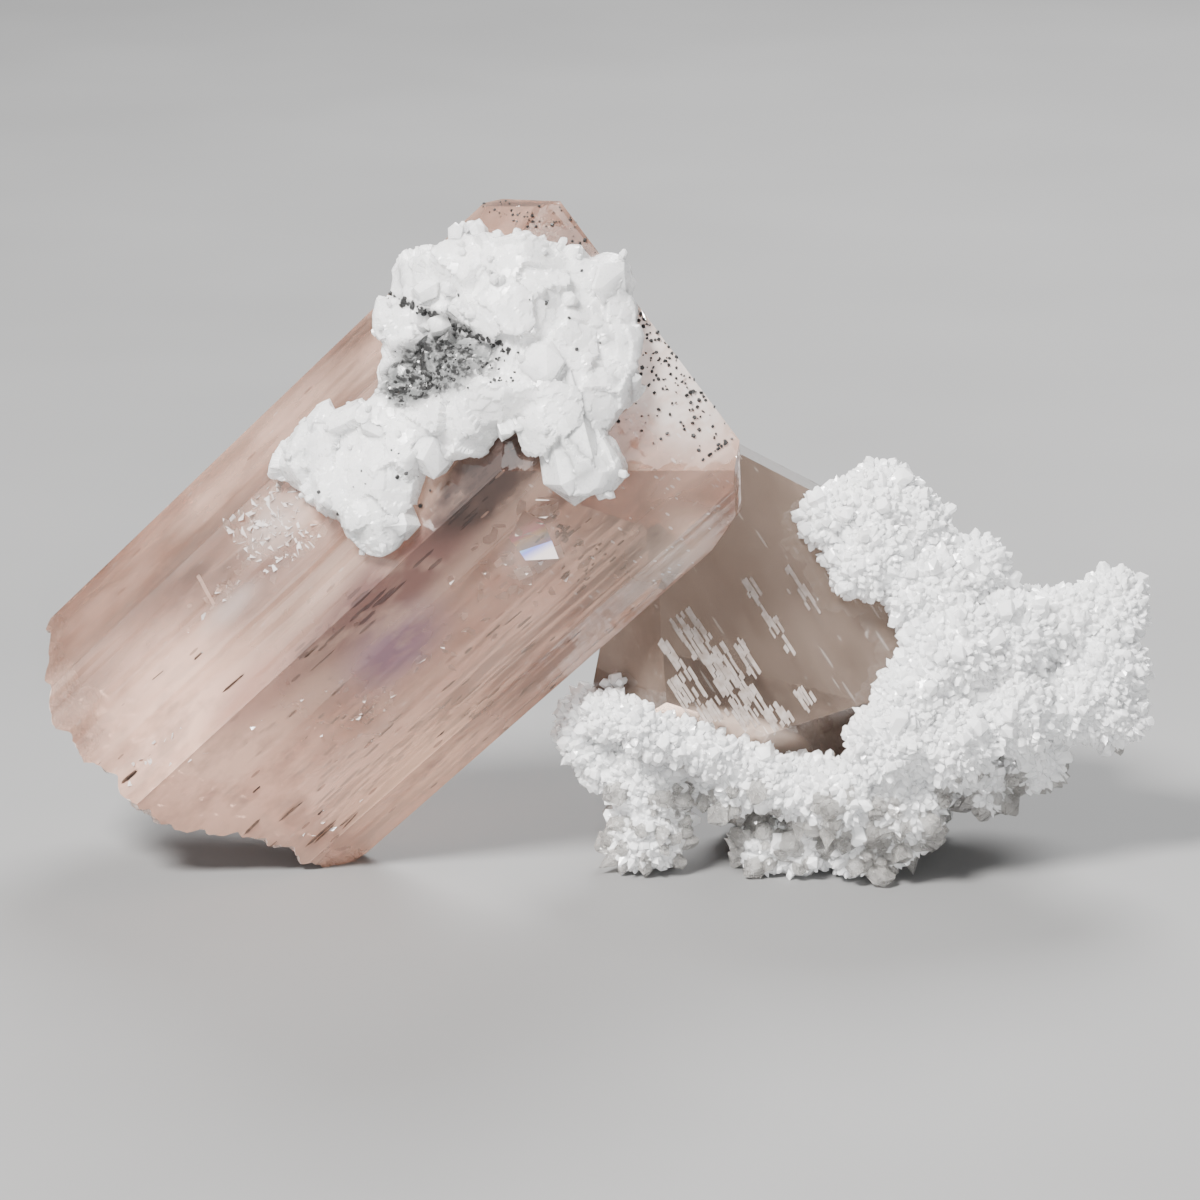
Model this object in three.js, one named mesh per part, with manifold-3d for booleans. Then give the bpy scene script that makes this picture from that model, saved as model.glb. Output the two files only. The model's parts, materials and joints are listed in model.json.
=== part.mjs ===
// A danburite specimen: two stout prismatic danburite crystals grown together, one leaning over the
// other, with a crust of white calcite on the leaning crystal and a druzy calcite cluster round the other.
// Millimetres, +Z up, +X to the right and +Y away from the front. The specimen stands on z = 0.

import * as THREE from "three";
import { ConvexGeometry } from "three/addons/geometries/ConvexGeometry.js";
import { mergeVertices } from "three/addons/utils/BufferGeometryUtils.js";
import Module from "manifold-3d";

const wasm = await Module();
wasm.setup();

const degrees = THREE.MathUtils.degToRad;

// Danburite's own angles, from its axial ratio
const PRISM_TURN = degrees(28.5); // normal of a main prism face, from the front
const SIDE_TURN = degrees(47.4); // normal of a narrow side prism face, from the front
const ROOF_SLOPE = degrees(60.5); // normal of the front roof face, from the long axis
const BACK_ROOF_SLOPE = degrees(50); // normal of the back roof face, from the long axis

// The leaning crystal: a prism 34 mm wide, with a chisel tip and a broken foot
const LEANING_PLACE = [0.2, 0.5, 44.75]; // where its axis meets the foot of the tip
const LEAN_RIGHT = degrees(45.1);
const LEAN_FORWARD = degrees(10);
const LEANING_ROLL = degrees(-8.9);
const WIDTH_RIGHT = 17.1; // from the axis to the side faces
const WIDTH_LEFT = 17.4;
const MAIN_FACE = 11.1; // from the axis to the main prism faces
const SIDE_FACE_RIGHT = 13.8;
const SIDE_FACE_LEFT = 13.3;
const BACK_MAIN_RIGHT = 10.7;
const BACK_MAIN_LEFT = 10.9;
const BACK_SIDE_RIGHT = 13.4;
const BACK_SIDE_LEFT = 13.3;
const ROOF_FACE = 7.1; // from the foot of the tip to its faces
const BACK_ROOF_FACE = 1.9;
const BACK_ROOF_YAW = 0.097; // the back roof face looks a little to the right
const TIP_BEVELS = [
  { normal: [0.76, 0, 0.651], distance: 13.1 },
  { normal: [0.974, 0, 0.225], distance: 16.05 },
  { normal: [-0.825, 0, 0.565], distance: 15.75 },
];
const LEANING_LENGTH = 64; // of the uncut prism, below the tip
const TAPER = 0.035; // how much narrower the foot is than the tip, as a share

// The second crystal: a broad face with a steep roof, seen from the front
const SECOND_PLACE = [21.3, 11, 20.6];
const SECOND_FACES = [
  { name: "broad", normal: [0.195, -0.886, 0.421], distance: 7.1 },
  { name: "left", normal: [-0.823, -0.537, 0.184], distance: 19.3 },
  { name: "lower roof", normal: [-0.19, -0.7, -0.688], distance: 14.8 },
  { name: "lower bevel", normal: [0.563, -0.641, -0.522], distance: 9.9 },
  { name: "upper", normal: [0.461, 0.144, 0.876], distance: 8.9 },
  { name: "right end", normal: [0.916, -0.085, 0.392], distance: 14.5 },
  { name: "lower right", normal: [0.365, -0.592, -0.719], distance: 9.8 },
  { name: "back", normal: [-0.06, 0.987, -0.146], distance: 9.5 },
  { name: "upper left end", normal: [-0.975, 0.141, 0.171], distance: 20 },
  { name: "underside", normal: [-0.25, 0.3, -0.92], distance: 12.5 },
];
const STRIATION = new THREE.Vector3(0.544, -0.26, -0.798); // along the broad face

// How the specimen is seen from the front, for the places that were read off that view
const VIEW_TILT = degrees(15);
const VIEW_DISTANCE = 500;
const VIEW_HEIGHT = 25.3; // of the view's middle

const CRUST_GAP = 0.3; // between the calcite and the danburite that it grew on
const PLATE_HEIGHT = 0.35; // of the etched plates
const FOOT_WEAR = 0.45; // the lumps and the corner that it stands on are worn flat by this
const FOOTPRINT_MIDDLE = [-0.29, 4.04]; // middle of its extent in X and Y, which becomes the origin

// A repeatable stream of numbers from 0 to 1
function stream(seed) {
  let state = seed >>> 0;
  return () => {
    state = (state + 0x6d2b79f5) >>> 0;
    let t = state;
    t = Math.imul(t ^ (t >>> 15), t | 1);
    t ^= t + Math.imul(t ^ (t >>> 7), t | 61);
    return ((t ^ (t >>> 14)) >>> 0) / 4294967296;
  };
}

// A copy of a geometry that holds nothing but its places
function bare(geometry) {
  return geometry.clone().deleteAttribute("normal").deleteAttribute("uv");
}

// Turns a closed geometry into a solid that can be joined and cut
function solid(geometry, matrix = new THREE.Matrix4()) {
  const merged = mergeVertices(bare(geometry).applyMatrix4(matrix), 1e-4);
  return new wasm.Manifold(
    new wasm.Mesh({
      numProp: 3,
      vertProperties: merged.attributes.position.array,
      triVerts: new Uint32Array(merged.index.array),
    }),
  );
}

function geometryOf(body) {
  const mesh = body.getMesh();
  const geometry = new THREE.BufferGeometry();
  geometry.setAttribute("position", new THREE.BufferAttribute(mesh.vertProperties, 3));
  geometry.setIndex(new THREE.BufferAttribute(mesh.triVerts, 1));
  return geometry;
}

function joined(bodies) {
  return bodies.reduce((whole, body) => whole.add(body));
}

// The largest separate piece, without the crumbs that a cut leaves
function mainPiece(body) {
  return body.decompose().reduce((best, piece) => (piece.volume() > best.volume() ? piece : best));
}

// The convex crystal that its faces enclose. Each face has an outward normal and a distance.
function crystal(faces, grown = 0) {
  const planes = faces.map(({ normal, distance }) => {
    const n = new THREE.Vector3(...normal);
    return { n: n.normalize(), d: distance + grown };
  });
  const corners = [];
  for (let i = 0; i < planes.length; i++)
    for (let j = i + 1; j < planes.length; j++)
      for (let k = j + 1; k < planes.length; k++) {
        const [a, b, c] = [planes[i], planes[j], planes[k]];
        const across = new THREE.Vector3().crossVectors(b.n, c.n);
        const volume = a.n.dot(across);
        if (Math.abs(volume) < 1e-6) continue;
        const corner = across.multiplyScalar(a.d);
        corner.addScaledVector(new THREE.Vector3().crossVectors(c.n, a.n), b.d);
        corner.addScaledVector(new THREE.Vector3().crossVectors(a.n, b.n), c.d);
        corner.divideScalar(volume);
        if (planes.every(({ n, d }) => n.dot(corner) < d + 1e-4)) corners.push(corner);
      }
  return new ConvexGeometry(corners);
}

// The leaning crystal's faces in its own frame: Z along the prism to the tip, X to its right, Y to the back
function prismFace(turn, side, depth, distance) {
  return { normal: [side * Math.sin(turn), depth * Math.cos(turn), 0], distance };
}

const LEANING_PRISM = [
  prismFace(PRISM_TURN, 1, -1, MAIN_FACE),
  prismFace(PRISM_TURN, -1, -1, MAIN_FACE),
  prismFace(SIDE_TURN, 1, -1, SIDE_FACE_RIGHT),
  prismFace(SIDE_TURN, -1, -1, SIDE_FACE_LEFT),
  prismFace(PRISM_TURN, 1, 1, BACK_MAIN_RIGHT),
  prismFace(PRISM_TURN, -1, 1, BACK_MAIN_LEFT),
  prismFace(SIDE_TURN, 1, 1, BACK_SIDE_RIGHT),
  prismFace(SIDE_TURN, -1, 1, BACK_SIDE_LEFT),
  { normal: [1, 0, 0], distance: WIDTH_RIGHT },
  { normal: [-1, 0, 0], distance: WIDTH_LEFT },
];
const LEANING_TIP = [
  { normal: [0, -Math.sin(ROOF_SLOPE), Math.cos(ROOF_SLOPE)], distance: ROOF_FACE },
  {
    normal: [BACK_ROOF_YAW, Math.sin(BACK_ROOF_SLOPE), Math.cos(BACK_ROOF_SLOPE)],
    distance: BACK_ROOF_FACE,
  },
  ...TIP_BEVELS,
];
const LEANING_BOTTOM = { normal: [0, 0, -1], distance: LEANING_LENGTH };

const leaningFrame = new THREE.Matrix4().compose(
  new THREE.Vector3(...LEANING_PLACE),
  new THREE.Quaternion().setFromEuler(new THREE.Euler(LEAN_FORWARD, LEAN_RIGHT, LEANING_ROLL, "YXZ")),
  new THREE.Vector3(1, 1, 1),
);
const secondFrame = new THREE.Matrix4().makeTranslation(...SECOND_PLACE);

// Narrows the prism towards its foot
function tapered(geometry) {
  const position = geometry.attributes.position;
  for (let i = 0; i < position.count; i++) {
    const share = 1 + (TAPER * Math.min(0, position.getZ(i))) / LEANING_LENGTH;
    position.setXY(i, position.getX(i) * share, position.getY(i) * share);
  }
  return geometry;
}

function leaningBody(grown = 0) {
  const faces = [...LEANING_PRISM, ...LEANING_TIP, LEANING_BOTTOM];
  return solid(tapered(crystal(faces, grown)), leaningFrame);
}

function secondBody(grown = 0) {
  return solid(crystal(SECOND_FACES, grown), secondFrame);
}

// The broken foot's rim, as [x across the crystal, z along it]
const BROKEN_RIM = [
  [-20, -52],
  [-16.2, -53.2],
  [-12, -55.2],
  [-8.5, -55.8],
  [-4.3, -54.6],
  [-0.7, -53],
  [4.2, -51.4],
  [9, -49.8],
  [13, -48.4],
  [17, -47.6],
  [21, -47],
];
const BREAK_ROUGHNESS = 0.7;
const BREAK_STEP = 3; // size of the facets on the broken foot
const BREAK_SCOOP = 1.8; // how much lower the foot's front and back lie than its middle
const CUT_HALF_WIDTH = 20.5; // of the block that cuts the foot off
const CUT_HALF_DEPTH = 16.5;

function rimHeight(x) {
  const next = BROKEN_RIM.findIndex(([rimX]) => rimX > x);
  const [x0, z0] = BROKEN_RIM[Math.max(next - 1, 0)];
  const [x1, z1] = BROKEN_RIM[Math.max(next, 1)];
  return z0 + ((z1 - z0) * (x - x0)) / (x1 - x0);
}

// Everything below the broken foot: a block whose top is the uneven break
function breakCutter() {
  const width = 2 * CUT_HALF_WIDTH;
  const depth = 2 * CUT_HALF_DEPTH;
  const columns = Math.round(width / BREAK_STEP);
  const rows = Math.round(depth / BREAK_STEP);
  const block = new THREE.BoxGeometry(width, depth, 1, columns, rows, 1);
  const position = block.attributes.position;
  for (let i = 0; i < position.count; i++) {
    const x = position.getX(i);
    const y = position.getY(i);
    const shell = 0.9 * Math.sin(0.42 * x + 0.31 * y) + 0.6 * Math.sin(1.3 * y - 0.7 * x);
    const grain = 0.5 * Math.sin(3.1 * x + 2.3 * y) * Math.cos(2.7 * y);
    const scoop = BREAK_SCOOP * Math.cos((Math.PI * y) / 24);
    const top = rimHeight(x) + scoop - 1 + BREAK_ROUGHNESS * (shell + grain);
    position.setZ(i, position.getZ(i) > 0 ? top : -LEANING_LENGTH - 4);
  }
  return solid(block, leaningFrame);
}

// A low growth ledge on a prism face: a long thin plate that lies along the crystal
function ledge({ normal, distance }, across, from, to, width, height) {
  const plate = new THREE.BoxGeometry(width, 1 + height, to - from);
  const onFace = new THREE.Matrix4().makeRotationZ(Math.atan2(normal[0], -normal[1]));
  onFace.multiply(new THREE.Matrix4().makeTranslation(across, 0.5 - distance - height / 2, (from + to) / 2));
  return solid(plate, new THREE.Matrix4().multiplyMatrices(leaningFrame, onFace));
}

function growthLedges() {
  const [frontRight, frontLeft, sideRight, sideLeft, backRight, backLeft, rearRight] = LEANING_PRISM;
  return [
    ledge(frontRight, 5.5, -47, -20, 2.6, 0.35),
    ledge(frontRight, 1.2, -50, -31, 2.2, 0.3),
    ledge(frontRight, 7.8, -40, -9, 1.4, 0.3),
    ledge(frontLeft, -4.5, -50, -28, 2.4, 0.35),
    ledge(frontLeft, -0.5, -48, -36, 1.6, 0.25),
    ledge(sideRight, 7.6, -46, -8, 0.9, 0.3),
    ledge(sideLeft, -8.6, -48, -12, 0.9, 0.3),
    ledge(backRight, -3, -49, -14, 3.2, 0.35),
    ledge(backRight, 2.2, -44, -26, 1.8, 0.3),
    ledge(backLeft, 3, -51, -24, 2.6, 0.35),
    ledge(backLeft, -3, -44, -8, 2, 0.3),
    ledge(rearRight, -8.4, -46, -16, 1, 0.3),
  ];
}

// The line of sight to a place as it looks from the front: millimetres right and up of the view's middle
const eye = new THREE.Vector3(
  0,
  -VIEW_DISTANCE * Math.cos(VIEW_TILT),
  VIEW_HEIGHT + VIEW_DISTANCE * Math.sin(VIEW_TILT),
);

function sightline(right, up) {
  const aim = new THREE.Vector3(right, up * Math.sin(VIEW_TILT), VIEW_HEIGHT + up * Math.cos(VIEW_TILT));
  return new THREE.Ray(eye, aim.sub(eye).normalize());
}

// The place on that line that lies so far back
function seen(right, up, back) {
  const ray = sightline(right, up);
  return ray.at((back - eye.y) / ray.direction.y, new THREE.Vector3());
}

// The place on that line where it meets a crystal, moved towards the eye by the lift
function onCrystal(faces, frame, right, up, lift) {
  const ray = sightline(right, up);
  const planes = faces.map(({ normal, distance }) => {
    const plane = new THREE.Plane(new THREE.Vector3(...normal).normalize(), -distance);
    return plane.applyMatrix4(frame);
  });
  const front = planes.filter((plane) => plane.normal.dot(ray.direction) < 0);
  const entry = Math.max(...front.map((plane) => ray.distanceToPlane(plane) ?? 0));
  return ray.at(entry - lift, new THREE.Vector3());
}

// Low plates and ridges that the etching left on the broad face, as they look from the front:
// [right, up, width, length]
const ETCHED_PLATES = [
  [8.3, -3.4, 2.2, 5.6],
  [10.8, -6.2, 1.6, 5],
  [7.6, -7.8, 1.8, 3.6],
  [12.8, -9.2, 2.4, 3.4],
  [15.2, -10, 1.8, 2.6],
  [14.5, -1.5, 0.8, 8],
  [17.5, 0.6, 0.7, 6],
];

function etchedPlates() {
  const broad = SECOND_FACES[0];
  const out = new THREE.Vector3(...broad.normal).normalize();
  const along = STRIATION.clone().addScaledVector(out, -STRIATION.dot(out)).normalize();
  const across = new THREE.Vector3().crossVectors(along, out);
  const axes = new THREE.Matrix4().makeBasis(across, along, out.clone());
  return ETCHED_PLATES.map(([right, up, width, length]) => {
    const plate = new THREE.BoxGeometry(width, length, 1 + PLATE_HEIGHT);
    const place = onCrystal(SECOND_FACES, secondFrame, right, up, 0);
    place.addScaledVector(out, PLATE_HEIGHT / 2 - 0.5);
    return solid(plate, axes.clone().setPosition(place));
  });
}

// Everything above the surface that the specimen stands on
function aboveFloor() {
  const size = 160;
  const block = new THREE.BoxGeometry(size, size, size);
  return solid(block, new THREE.Matrix4().makeTranslation(0, 0, size / 2));
}

// A ball of flat facets, and the corners of its grid that stand out as crystal tips
function ballGrid(detail) {
  const ball = mergeVertices(bare(new THREE.IcosahedronGeometry(1, detail)), 1e-4);
  const coarse = mergeVertices(bare(new THREE.IcosahedronGeometry(1, 0)), 1e-4).attributes.position;
  const direction = new THREE.Vector3();
  const corner = new THREE.Vector3();
  const tips = [];
  for (let i = 0; i < ball.attributes.position.count; i++) {
    direction.fromBufferAttribute(ball.attributes.position, i);
    let nearest = -1;
    for (let k = 0; k < coarse.count; k++)
      nearest = Math.max(nearest, corner.fromBufferAttribute(coarse, k).dot(direction));
    const overCoarseFace = nearest < 0.82;
    tips.push(nearest > 0.99 || overCoarseFace);
  }
  return { ball, tips };
}

const FINE_GRID = ballGrid(2); // 32 tips, each with five or six facets
const PLAIN_GRID = ballGrid(1); // 12 tips with five facets each
const FINE_FROM = 4.5; // lumps from this radius up take the fine grid

// How far a lump's points and hollows lie from its middle, and how much they stray sideways, as
// shares of its radius
const POINT = { least: 1, most: 1.2, stray: 0.22 };
const HOLLOW = { least: 0.84, most: 0.9, stray: 0.12 };
const MASSIVE_CORNER = { least: 0.88, most: 1.1 };
const BLOCK_TOP = 0.38; // radius of a block crystal's top, as a share of its width

function between({ least, most }, random) {
  return least + (most - least) * random();
}

// A lump of calcite grown all over with blunt points
function druzyLump(centre, radius, random, grid = radius < FINE_FROM ? PLAIN_GRID : FINE_GRID) {
  const ball = grid.ball.clone();
  const position = ball.attributes.position;
  const corner = new THREE.Vector3();
  for (let i = 0; i < position.count; i++) {
    const form = grid.tips[i] ? POINT : HOLLOW;
    const sway = new THREE.Vector3(random() - 0.5, random() - 0.5, random() - 0.5);
    corner.fromBufferAttribute(position, i);
    corner.multiplyScalar(radius * between(form, random));
    corner.addScaledVector(sway, radius * form.stray);
    position.setXYZ(i, corner.x, corner.y, corner.z);
  }
  return turned(ball, centre, random);
}

// A smoother lump of massive calcite with broad facets
function massiveLump(centre, radius, random) {
  const ball = mergeVertices(bare(new THREE.IcosahedronGeometry(radius, 1)), 1e-4);
  const position = ball.attributes.position;
  const corner = new THREE.Vector3();
  for (let i = 0; i < position.count; i++) {
    corner.fromBufferAttribute(position, i).multiplyScalar(between(MASSIVE_CORNER, random));
    position.setXYZ(i, corner.x, corner.y, corner.z);
  }
  return turned(ball, centre, random);
}

// A short six-sided calcite crystal with a flat top
function calciteBlock(centre, width, length, random) {
  const block = new THREE.CylinderGeometry(width * BLOCK_TOP, width / 2, length, 6, 1);
  return turned(block, centre, random);
}

function turned(geometry, centre, random) {
  const round = 2 * Math.PI;
  const turn = new THREE.Euler(round * random(), round * random(), round * random());
  const matrix = new THREE.Matrix4().makeRotationFromEuler(turn).setPosition(centre);
  return solid(geometry, matrix);
}

// The druzy cluster's lumps as they look from the front, as [right, up, back, radius]
const CLUSTER_LUMPS = [
  [23.8, 8.1, 6.2, 3.6],
  [19.7, 7.2, 5, 2.9],
  [27, 5.8, 6, 3.3],
  [31.6, 2.6, 5.5, 3.3],
  [22.8, 3.4, 3.6, 3.9],
  [27.6, 0.9, 3, 3.9],
  [43.4, -0.7, 5.5, 3.6],
  [39.1, -2.1, 4.6, 3.4],
  [43.2, -5.5, 4, 3.6],
  [43.5, -9.5, 4, 3.3],
  [40.4, -8.5, 3, 3.7],
  [34.9, -3.4, 2.6, 4.2],
  [29.8, -4.3, 0.8, 4.7],
  [27, -7.9, -0.6, 4],
  [34.9, -9.4, 0.4, 4.2],
  [29.8, -11.9, -1.2, 4.2],
  [24.7, -12.3, -2.6, 3.8],
  [37, -13.6, 3.5, 2.7],
  [32.7, -15.6, 3, 2.5],
  [25.5, -17, -0.8, 3.8],
  [20.8, -16.6, -1, 3.5],
  [16.6, -16, 0, 3],
  [13.2, -14.7, -0.4, 2.7],
  [10, -13.2, -1.3, 2.5],
  [7, -12.1, -1.7, 2.5],
  [3.8, -10.8, -1.8, 2.5],
  [0.7, -9.8, 1, 2.3],
  [-1, -9.4, 3.4, 1.7],
];
// What hangs under the cluster, the stout drop at its left among them
const HANGING_LUMPS = [
  [22.1, -21.3, 1, 3.2],
  [17, -21.2, 1.5, 2.9],
  [14, -21.2, 2, 2.7],
  [25.1, -19.8, 0.5, 2.5],
  [4.1, -20.2, 2.5, 3.5],
  [4.2, -16.6, 2.6, 3.6],
  [3.4, -13.8, 3.4, 3.7],
  [0, -12.2, 4.4, 3.5],
  [-0.8, -10.4, 5.4, 3.2],
];
// The cluster's far side, which carries the specimen at the back
const REAR_LUMPS = [
  [11, -15, 2, 3.5],
  [17.5, -17.3, 5.6, 4.4],
  [18.5, -17.2, 10, 4.2],
  [25, -16.5, 7, 4.6],
  [20.5, -17.6, 14, 3.9],
  [14, -16, 13, 4.2],
  [27, -14.9, 13, 4.4],
  [33, -10.2, 12, 4.6],
  [39, -5, 9.5, 4.4],
  [36, -2, 10, 3.6],
  [30, 2.2, 11.5, 3.5],
  [24, 6.2, 11.5, 3.3],
];

// The crust's lumps as they look from the front, as [right, up, lift off the crystal, radius]
const CRUST_LUMPS = [
  [-14.9, 26.8, 0.2, 2.5],
  [-11, 28.2, 0.3, 2.9],
  [-6.8, 28, 0.3, 3.1],
  [-3, 26.3, 0.2, 2.8],
  [0.4, 26.6, 0, 2.2],
  [-7.4, 24.2, 0.8, 3.3],
  [-3.4, 22.8, 0.6, 2.9],
  [0.9, 21.9, 0.4, 2.4],
  [-1.4, 20, 0.6, 2.4],
  [-4.4, 19.4, 1, 2.9],
  [0.6, 18, 0.8, 2.8],
  [-16, 24, 0.3, 2.4],
  [-12, 20.4, 0, 2.9],
  [-9, 17.2, 0.8, 3.2],
  [-11.8, 15.2, 1, 2.9],
  [-3.4, 15, 1.6, 3.2],
  [-1.1, 11.6, 1.8, 2.9],
  [-14.4, 15, 0.4, 2.9],
  [-18, 14.4, 0.8, 3.2],
  [-22, 13.8, 0.4, 2.8],
  [-25, 11.8, 0.2, 2.4],
  [-21.6, 10, 0.6, 3],
  [-17.6, 10.6, 0.8, 3.2],
  [-18.6, 7.2, 0.4, 2.9],
];
// Single crystals that stand out of the crust, in the same terms, with their width
const CRUST_BLOCKS = [
  [-16.6, 27, 0.4, 3],
  [0.8, 26.8, 1, 3],
  [-4.2, 19.6, 2.6, 3.6],
  [1, 17, 1.6, 3],
  [-13.4, 12.4, 1.6, 3.4],
  [-24, 9, 0.8, 3],
  [-16.4, 7.6, 1.6, 2.8],
  [-9.4, 26.4, 1.6, 3.2],
];

function calciteCrust(spared) {
  const random = stream(11);
  const place = ([right, up, lift]) =>
    onCrystal([...LEANING_PRISM, ...LEANING_TIP], leaningFrame, right, up, lift);
  const lumps = CRUST_LUMPS.map((lump) => massiveLump(place(lump), lump[3], random));
  const blocks = CRUST_BLOCKS.map((block) => calciteBlock(place(block), block[3], block[3] * 1.1, random));
  return mainPiece(joined([...lumps, ...blocks]).subtract(spared));
}

function calciteCluster(spared) {
  const random = stream(29);
  const lump = ([right, up, back, radius], grid) =>
    druzyLump(seen(right, up, back), radius, random, grid);
  const front = [...CLUSTER_LUMPS, ...HANGING_LUMPS].map((values) => lump(values));
  const rear = REAR_LUMPS.map((values) => lump(values, PLAIN_GRID));
  return mainPiece(joined([...front, ...rear]).subtract(spared));
}

// The lone calcite crystal on the second crystal's left face
const LONE_CRYSTAL = { right: 1.4, up: -6.8, lift: 0.7, width: 2.1, length: 2.6 };

function loneCrystal(spared) {
  const { right, up, lift, width, length } = LONE_CRYSTAL;
  const place = onCrystal(SECOND_FACES, secondFrame, right, up, lift);
  return mainPiece(calciteBlock(place, width, length, stream(5)).subtract(spared));
}

function danburiteCrystals() {
  const leaning = joined([leaningBody(), ...growthLedges()]).subtract(breakCutter());
  const second = joined([secondBody(), ...etchedPlates()]);
  return mainPiece(leaning.add(second));
}

// The specimen is let down by its foot wear, so that the floor takes the lowest tips off
function standing(body) {
  const [x, y] = FOOTPRINT_MIDDLE;
  const lowered = body.translate([0, 0, -FOOT_WEAR]);
  return mainPiece(lowered.intersect(aboveFloor())).translate([-x, -y, 0]);
}

const danburiteMaterial = new THREE.MeshStandardMaterial({ color: 0xc3aca0, roughness: 0.15, metalness: 0 });
const crustMaterial = new THREE.MeshStandardMaterial({ color: 0xf2f1ee, roughness: 0.4, metalness: 0 });
const clusterMaterial = new THREE.MeshStandardMaterial({ color: 0xf6f6f5, roughness: 0.35, metalness: 0 });

function node(name, body, material) {
  const mesh = new THREE.Mesh(geometryOf(body), material);
  mesh.name = name;
  return mesh;
}

const spared = joined([leaningBody(CRUST_GAP + PLATE_HEIGHT), secondBody(CRUST_GAP + PLATE_HEIGHT)]);

const specimen = new THREE.Group();
specimen.name = "danburite_specimen";
specimen.add(
  node("danburite_crystals", standing(danburiteCrystals()), danburiteMaterial),
  node("calcite_crust", standing(calciteCrust(spared)), crustMaterial),
  node("calcite_cluster", standing(calciteCluster(spared)), clusterMaterial),
  node("lone_calcite_crystal", standing(loneCrystal(spared)), clusterMaterial),
);

export default specimen;
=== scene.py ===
# A danburite specimen: two danburite crystals grown together, with a crust of massive calcite on the
# leaning one and a cluster of small white calcite crystals round the other.
# Shapes are worked out in millimetres in the frame in which the specimen grew, as the solids are, and
# every mesh is then moved to the solids' frame, in metres.

import json
import math

import bmesh
import bpy
import numpy as np
from mathutils import Matrix, Vector
from mathutils.bvhtree import BVHTree
from mathutils.kdtree import KDTree

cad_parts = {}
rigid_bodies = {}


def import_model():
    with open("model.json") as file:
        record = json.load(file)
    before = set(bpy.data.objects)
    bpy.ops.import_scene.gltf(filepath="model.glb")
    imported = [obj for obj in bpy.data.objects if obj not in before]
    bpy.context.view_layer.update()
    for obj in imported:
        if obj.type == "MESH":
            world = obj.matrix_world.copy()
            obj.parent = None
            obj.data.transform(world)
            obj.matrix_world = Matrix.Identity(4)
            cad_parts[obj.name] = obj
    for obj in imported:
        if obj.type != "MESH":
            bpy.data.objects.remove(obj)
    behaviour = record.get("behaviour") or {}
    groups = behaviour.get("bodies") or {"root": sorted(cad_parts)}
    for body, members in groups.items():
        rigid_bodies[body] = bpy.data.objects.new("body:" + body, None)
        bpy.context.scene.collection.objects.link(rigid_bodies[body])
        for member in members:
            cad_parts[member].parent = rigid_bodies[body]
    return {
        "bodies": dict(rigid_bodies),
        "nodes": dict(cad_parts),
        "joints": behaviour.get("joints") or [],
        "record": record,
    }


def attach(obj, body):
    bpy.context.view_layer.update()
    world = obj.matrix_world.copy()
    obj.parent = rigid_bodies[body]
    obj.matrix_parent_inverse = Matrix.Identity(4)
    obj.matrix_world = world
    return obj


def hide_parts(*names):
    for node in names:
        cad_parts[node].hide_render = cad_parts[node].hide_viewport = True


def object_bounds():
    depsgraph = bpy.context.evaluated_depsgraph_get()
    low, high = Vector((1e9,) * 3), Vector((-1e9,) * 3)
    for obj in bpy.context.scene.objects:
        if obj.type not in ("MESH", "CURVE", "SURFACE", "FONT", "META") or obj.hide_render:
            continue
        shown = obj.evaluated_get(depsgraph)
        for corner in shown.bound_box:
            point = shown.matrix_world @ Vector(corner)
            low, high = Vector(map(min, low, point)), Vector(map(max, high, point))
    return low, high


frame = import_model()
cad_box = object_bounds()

MM = 0.001
# Where the middle of the specimen's extent lies in the frame in which it grew, and its worn foot
FOOTPRINT_MIDDLE = (-0.29, 4.04)
FOOT_WEAR = 0.45
FRAME_SHIFT = np.array([*FOOTPRINT_MIDDLE, FOOT_WEAR])

# The view of the photograph
VIEW_TILT = math.radians(15)
VIEW_DISTANCE = 500.0
VIEW_HEIGHT = 25.3
PICTURE_WIDTH = 102.0  # what the picture takes in at the specimen
SENSOR_WIDTH = 36.0

# The leaning crystal, as in the solids
PRISM_TURN = math.radians(28.5)
SIDE_TURN = math.radians(47.4)
ROOF_SLOPE = math.radians(60.5)
BACK_ROOF_SLOPE = math.radians(50)
LEANING_PLACE = (0.2, 0.5, 44.75)
LEANING_LENGTH = 64.0
TAPER = 0.035
BROKEN_RIM = [
    (-20, -52), (-16.2, -53.2), (-12, -55.2), (-8.5, -55.8), (-4.3, -54.6), (-0.7, -53),
    (4.2, -51.4), (9, -49.8), (13, -48.4), (17, -47.6), (21, -47),
]

# The second crystal, as in the solids
SECOND_PLACE = (21.3, 11, 20.6)
SECOND_FACES = [
    ((0.195, -0.886, 0.421), 7.1),
    ((-0.823, -0.537, 0.184), 19.3),
    ((-0.19, -0.7, -0.688), 14.8),
    ((0.563, -0.641, -0.522), 9.9),
    ((0.461, 0.144, 0.876), 8.9),
    ((0.916, -0.085, 0.392), 14.5),
    ((0.365, -0.592, -0.719), 9.8),
    ((-0.06, 0.987, -0.146), 9.5),
    ((-0.975, 0.141, 0.171), 20),
    ((-0.25, 0.3, -0.92), 12.5),
]
STRIATION = (0.544, -0.26, -0.798)


# Numbers and noise

def lattice_value(ix, iy, iz, seed):
    h = (ix * 374761393 + iy * 668265263 + iz * 1440662683 + seed * 974634777) & 0xFFFFFFFF
    h = ((h ^ (h >> 13)) * 1274126177) & 0xFFFFFFFF
    return ((h ^ (h >> 16)) & 0xFFFF) / 65535.0


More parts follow.
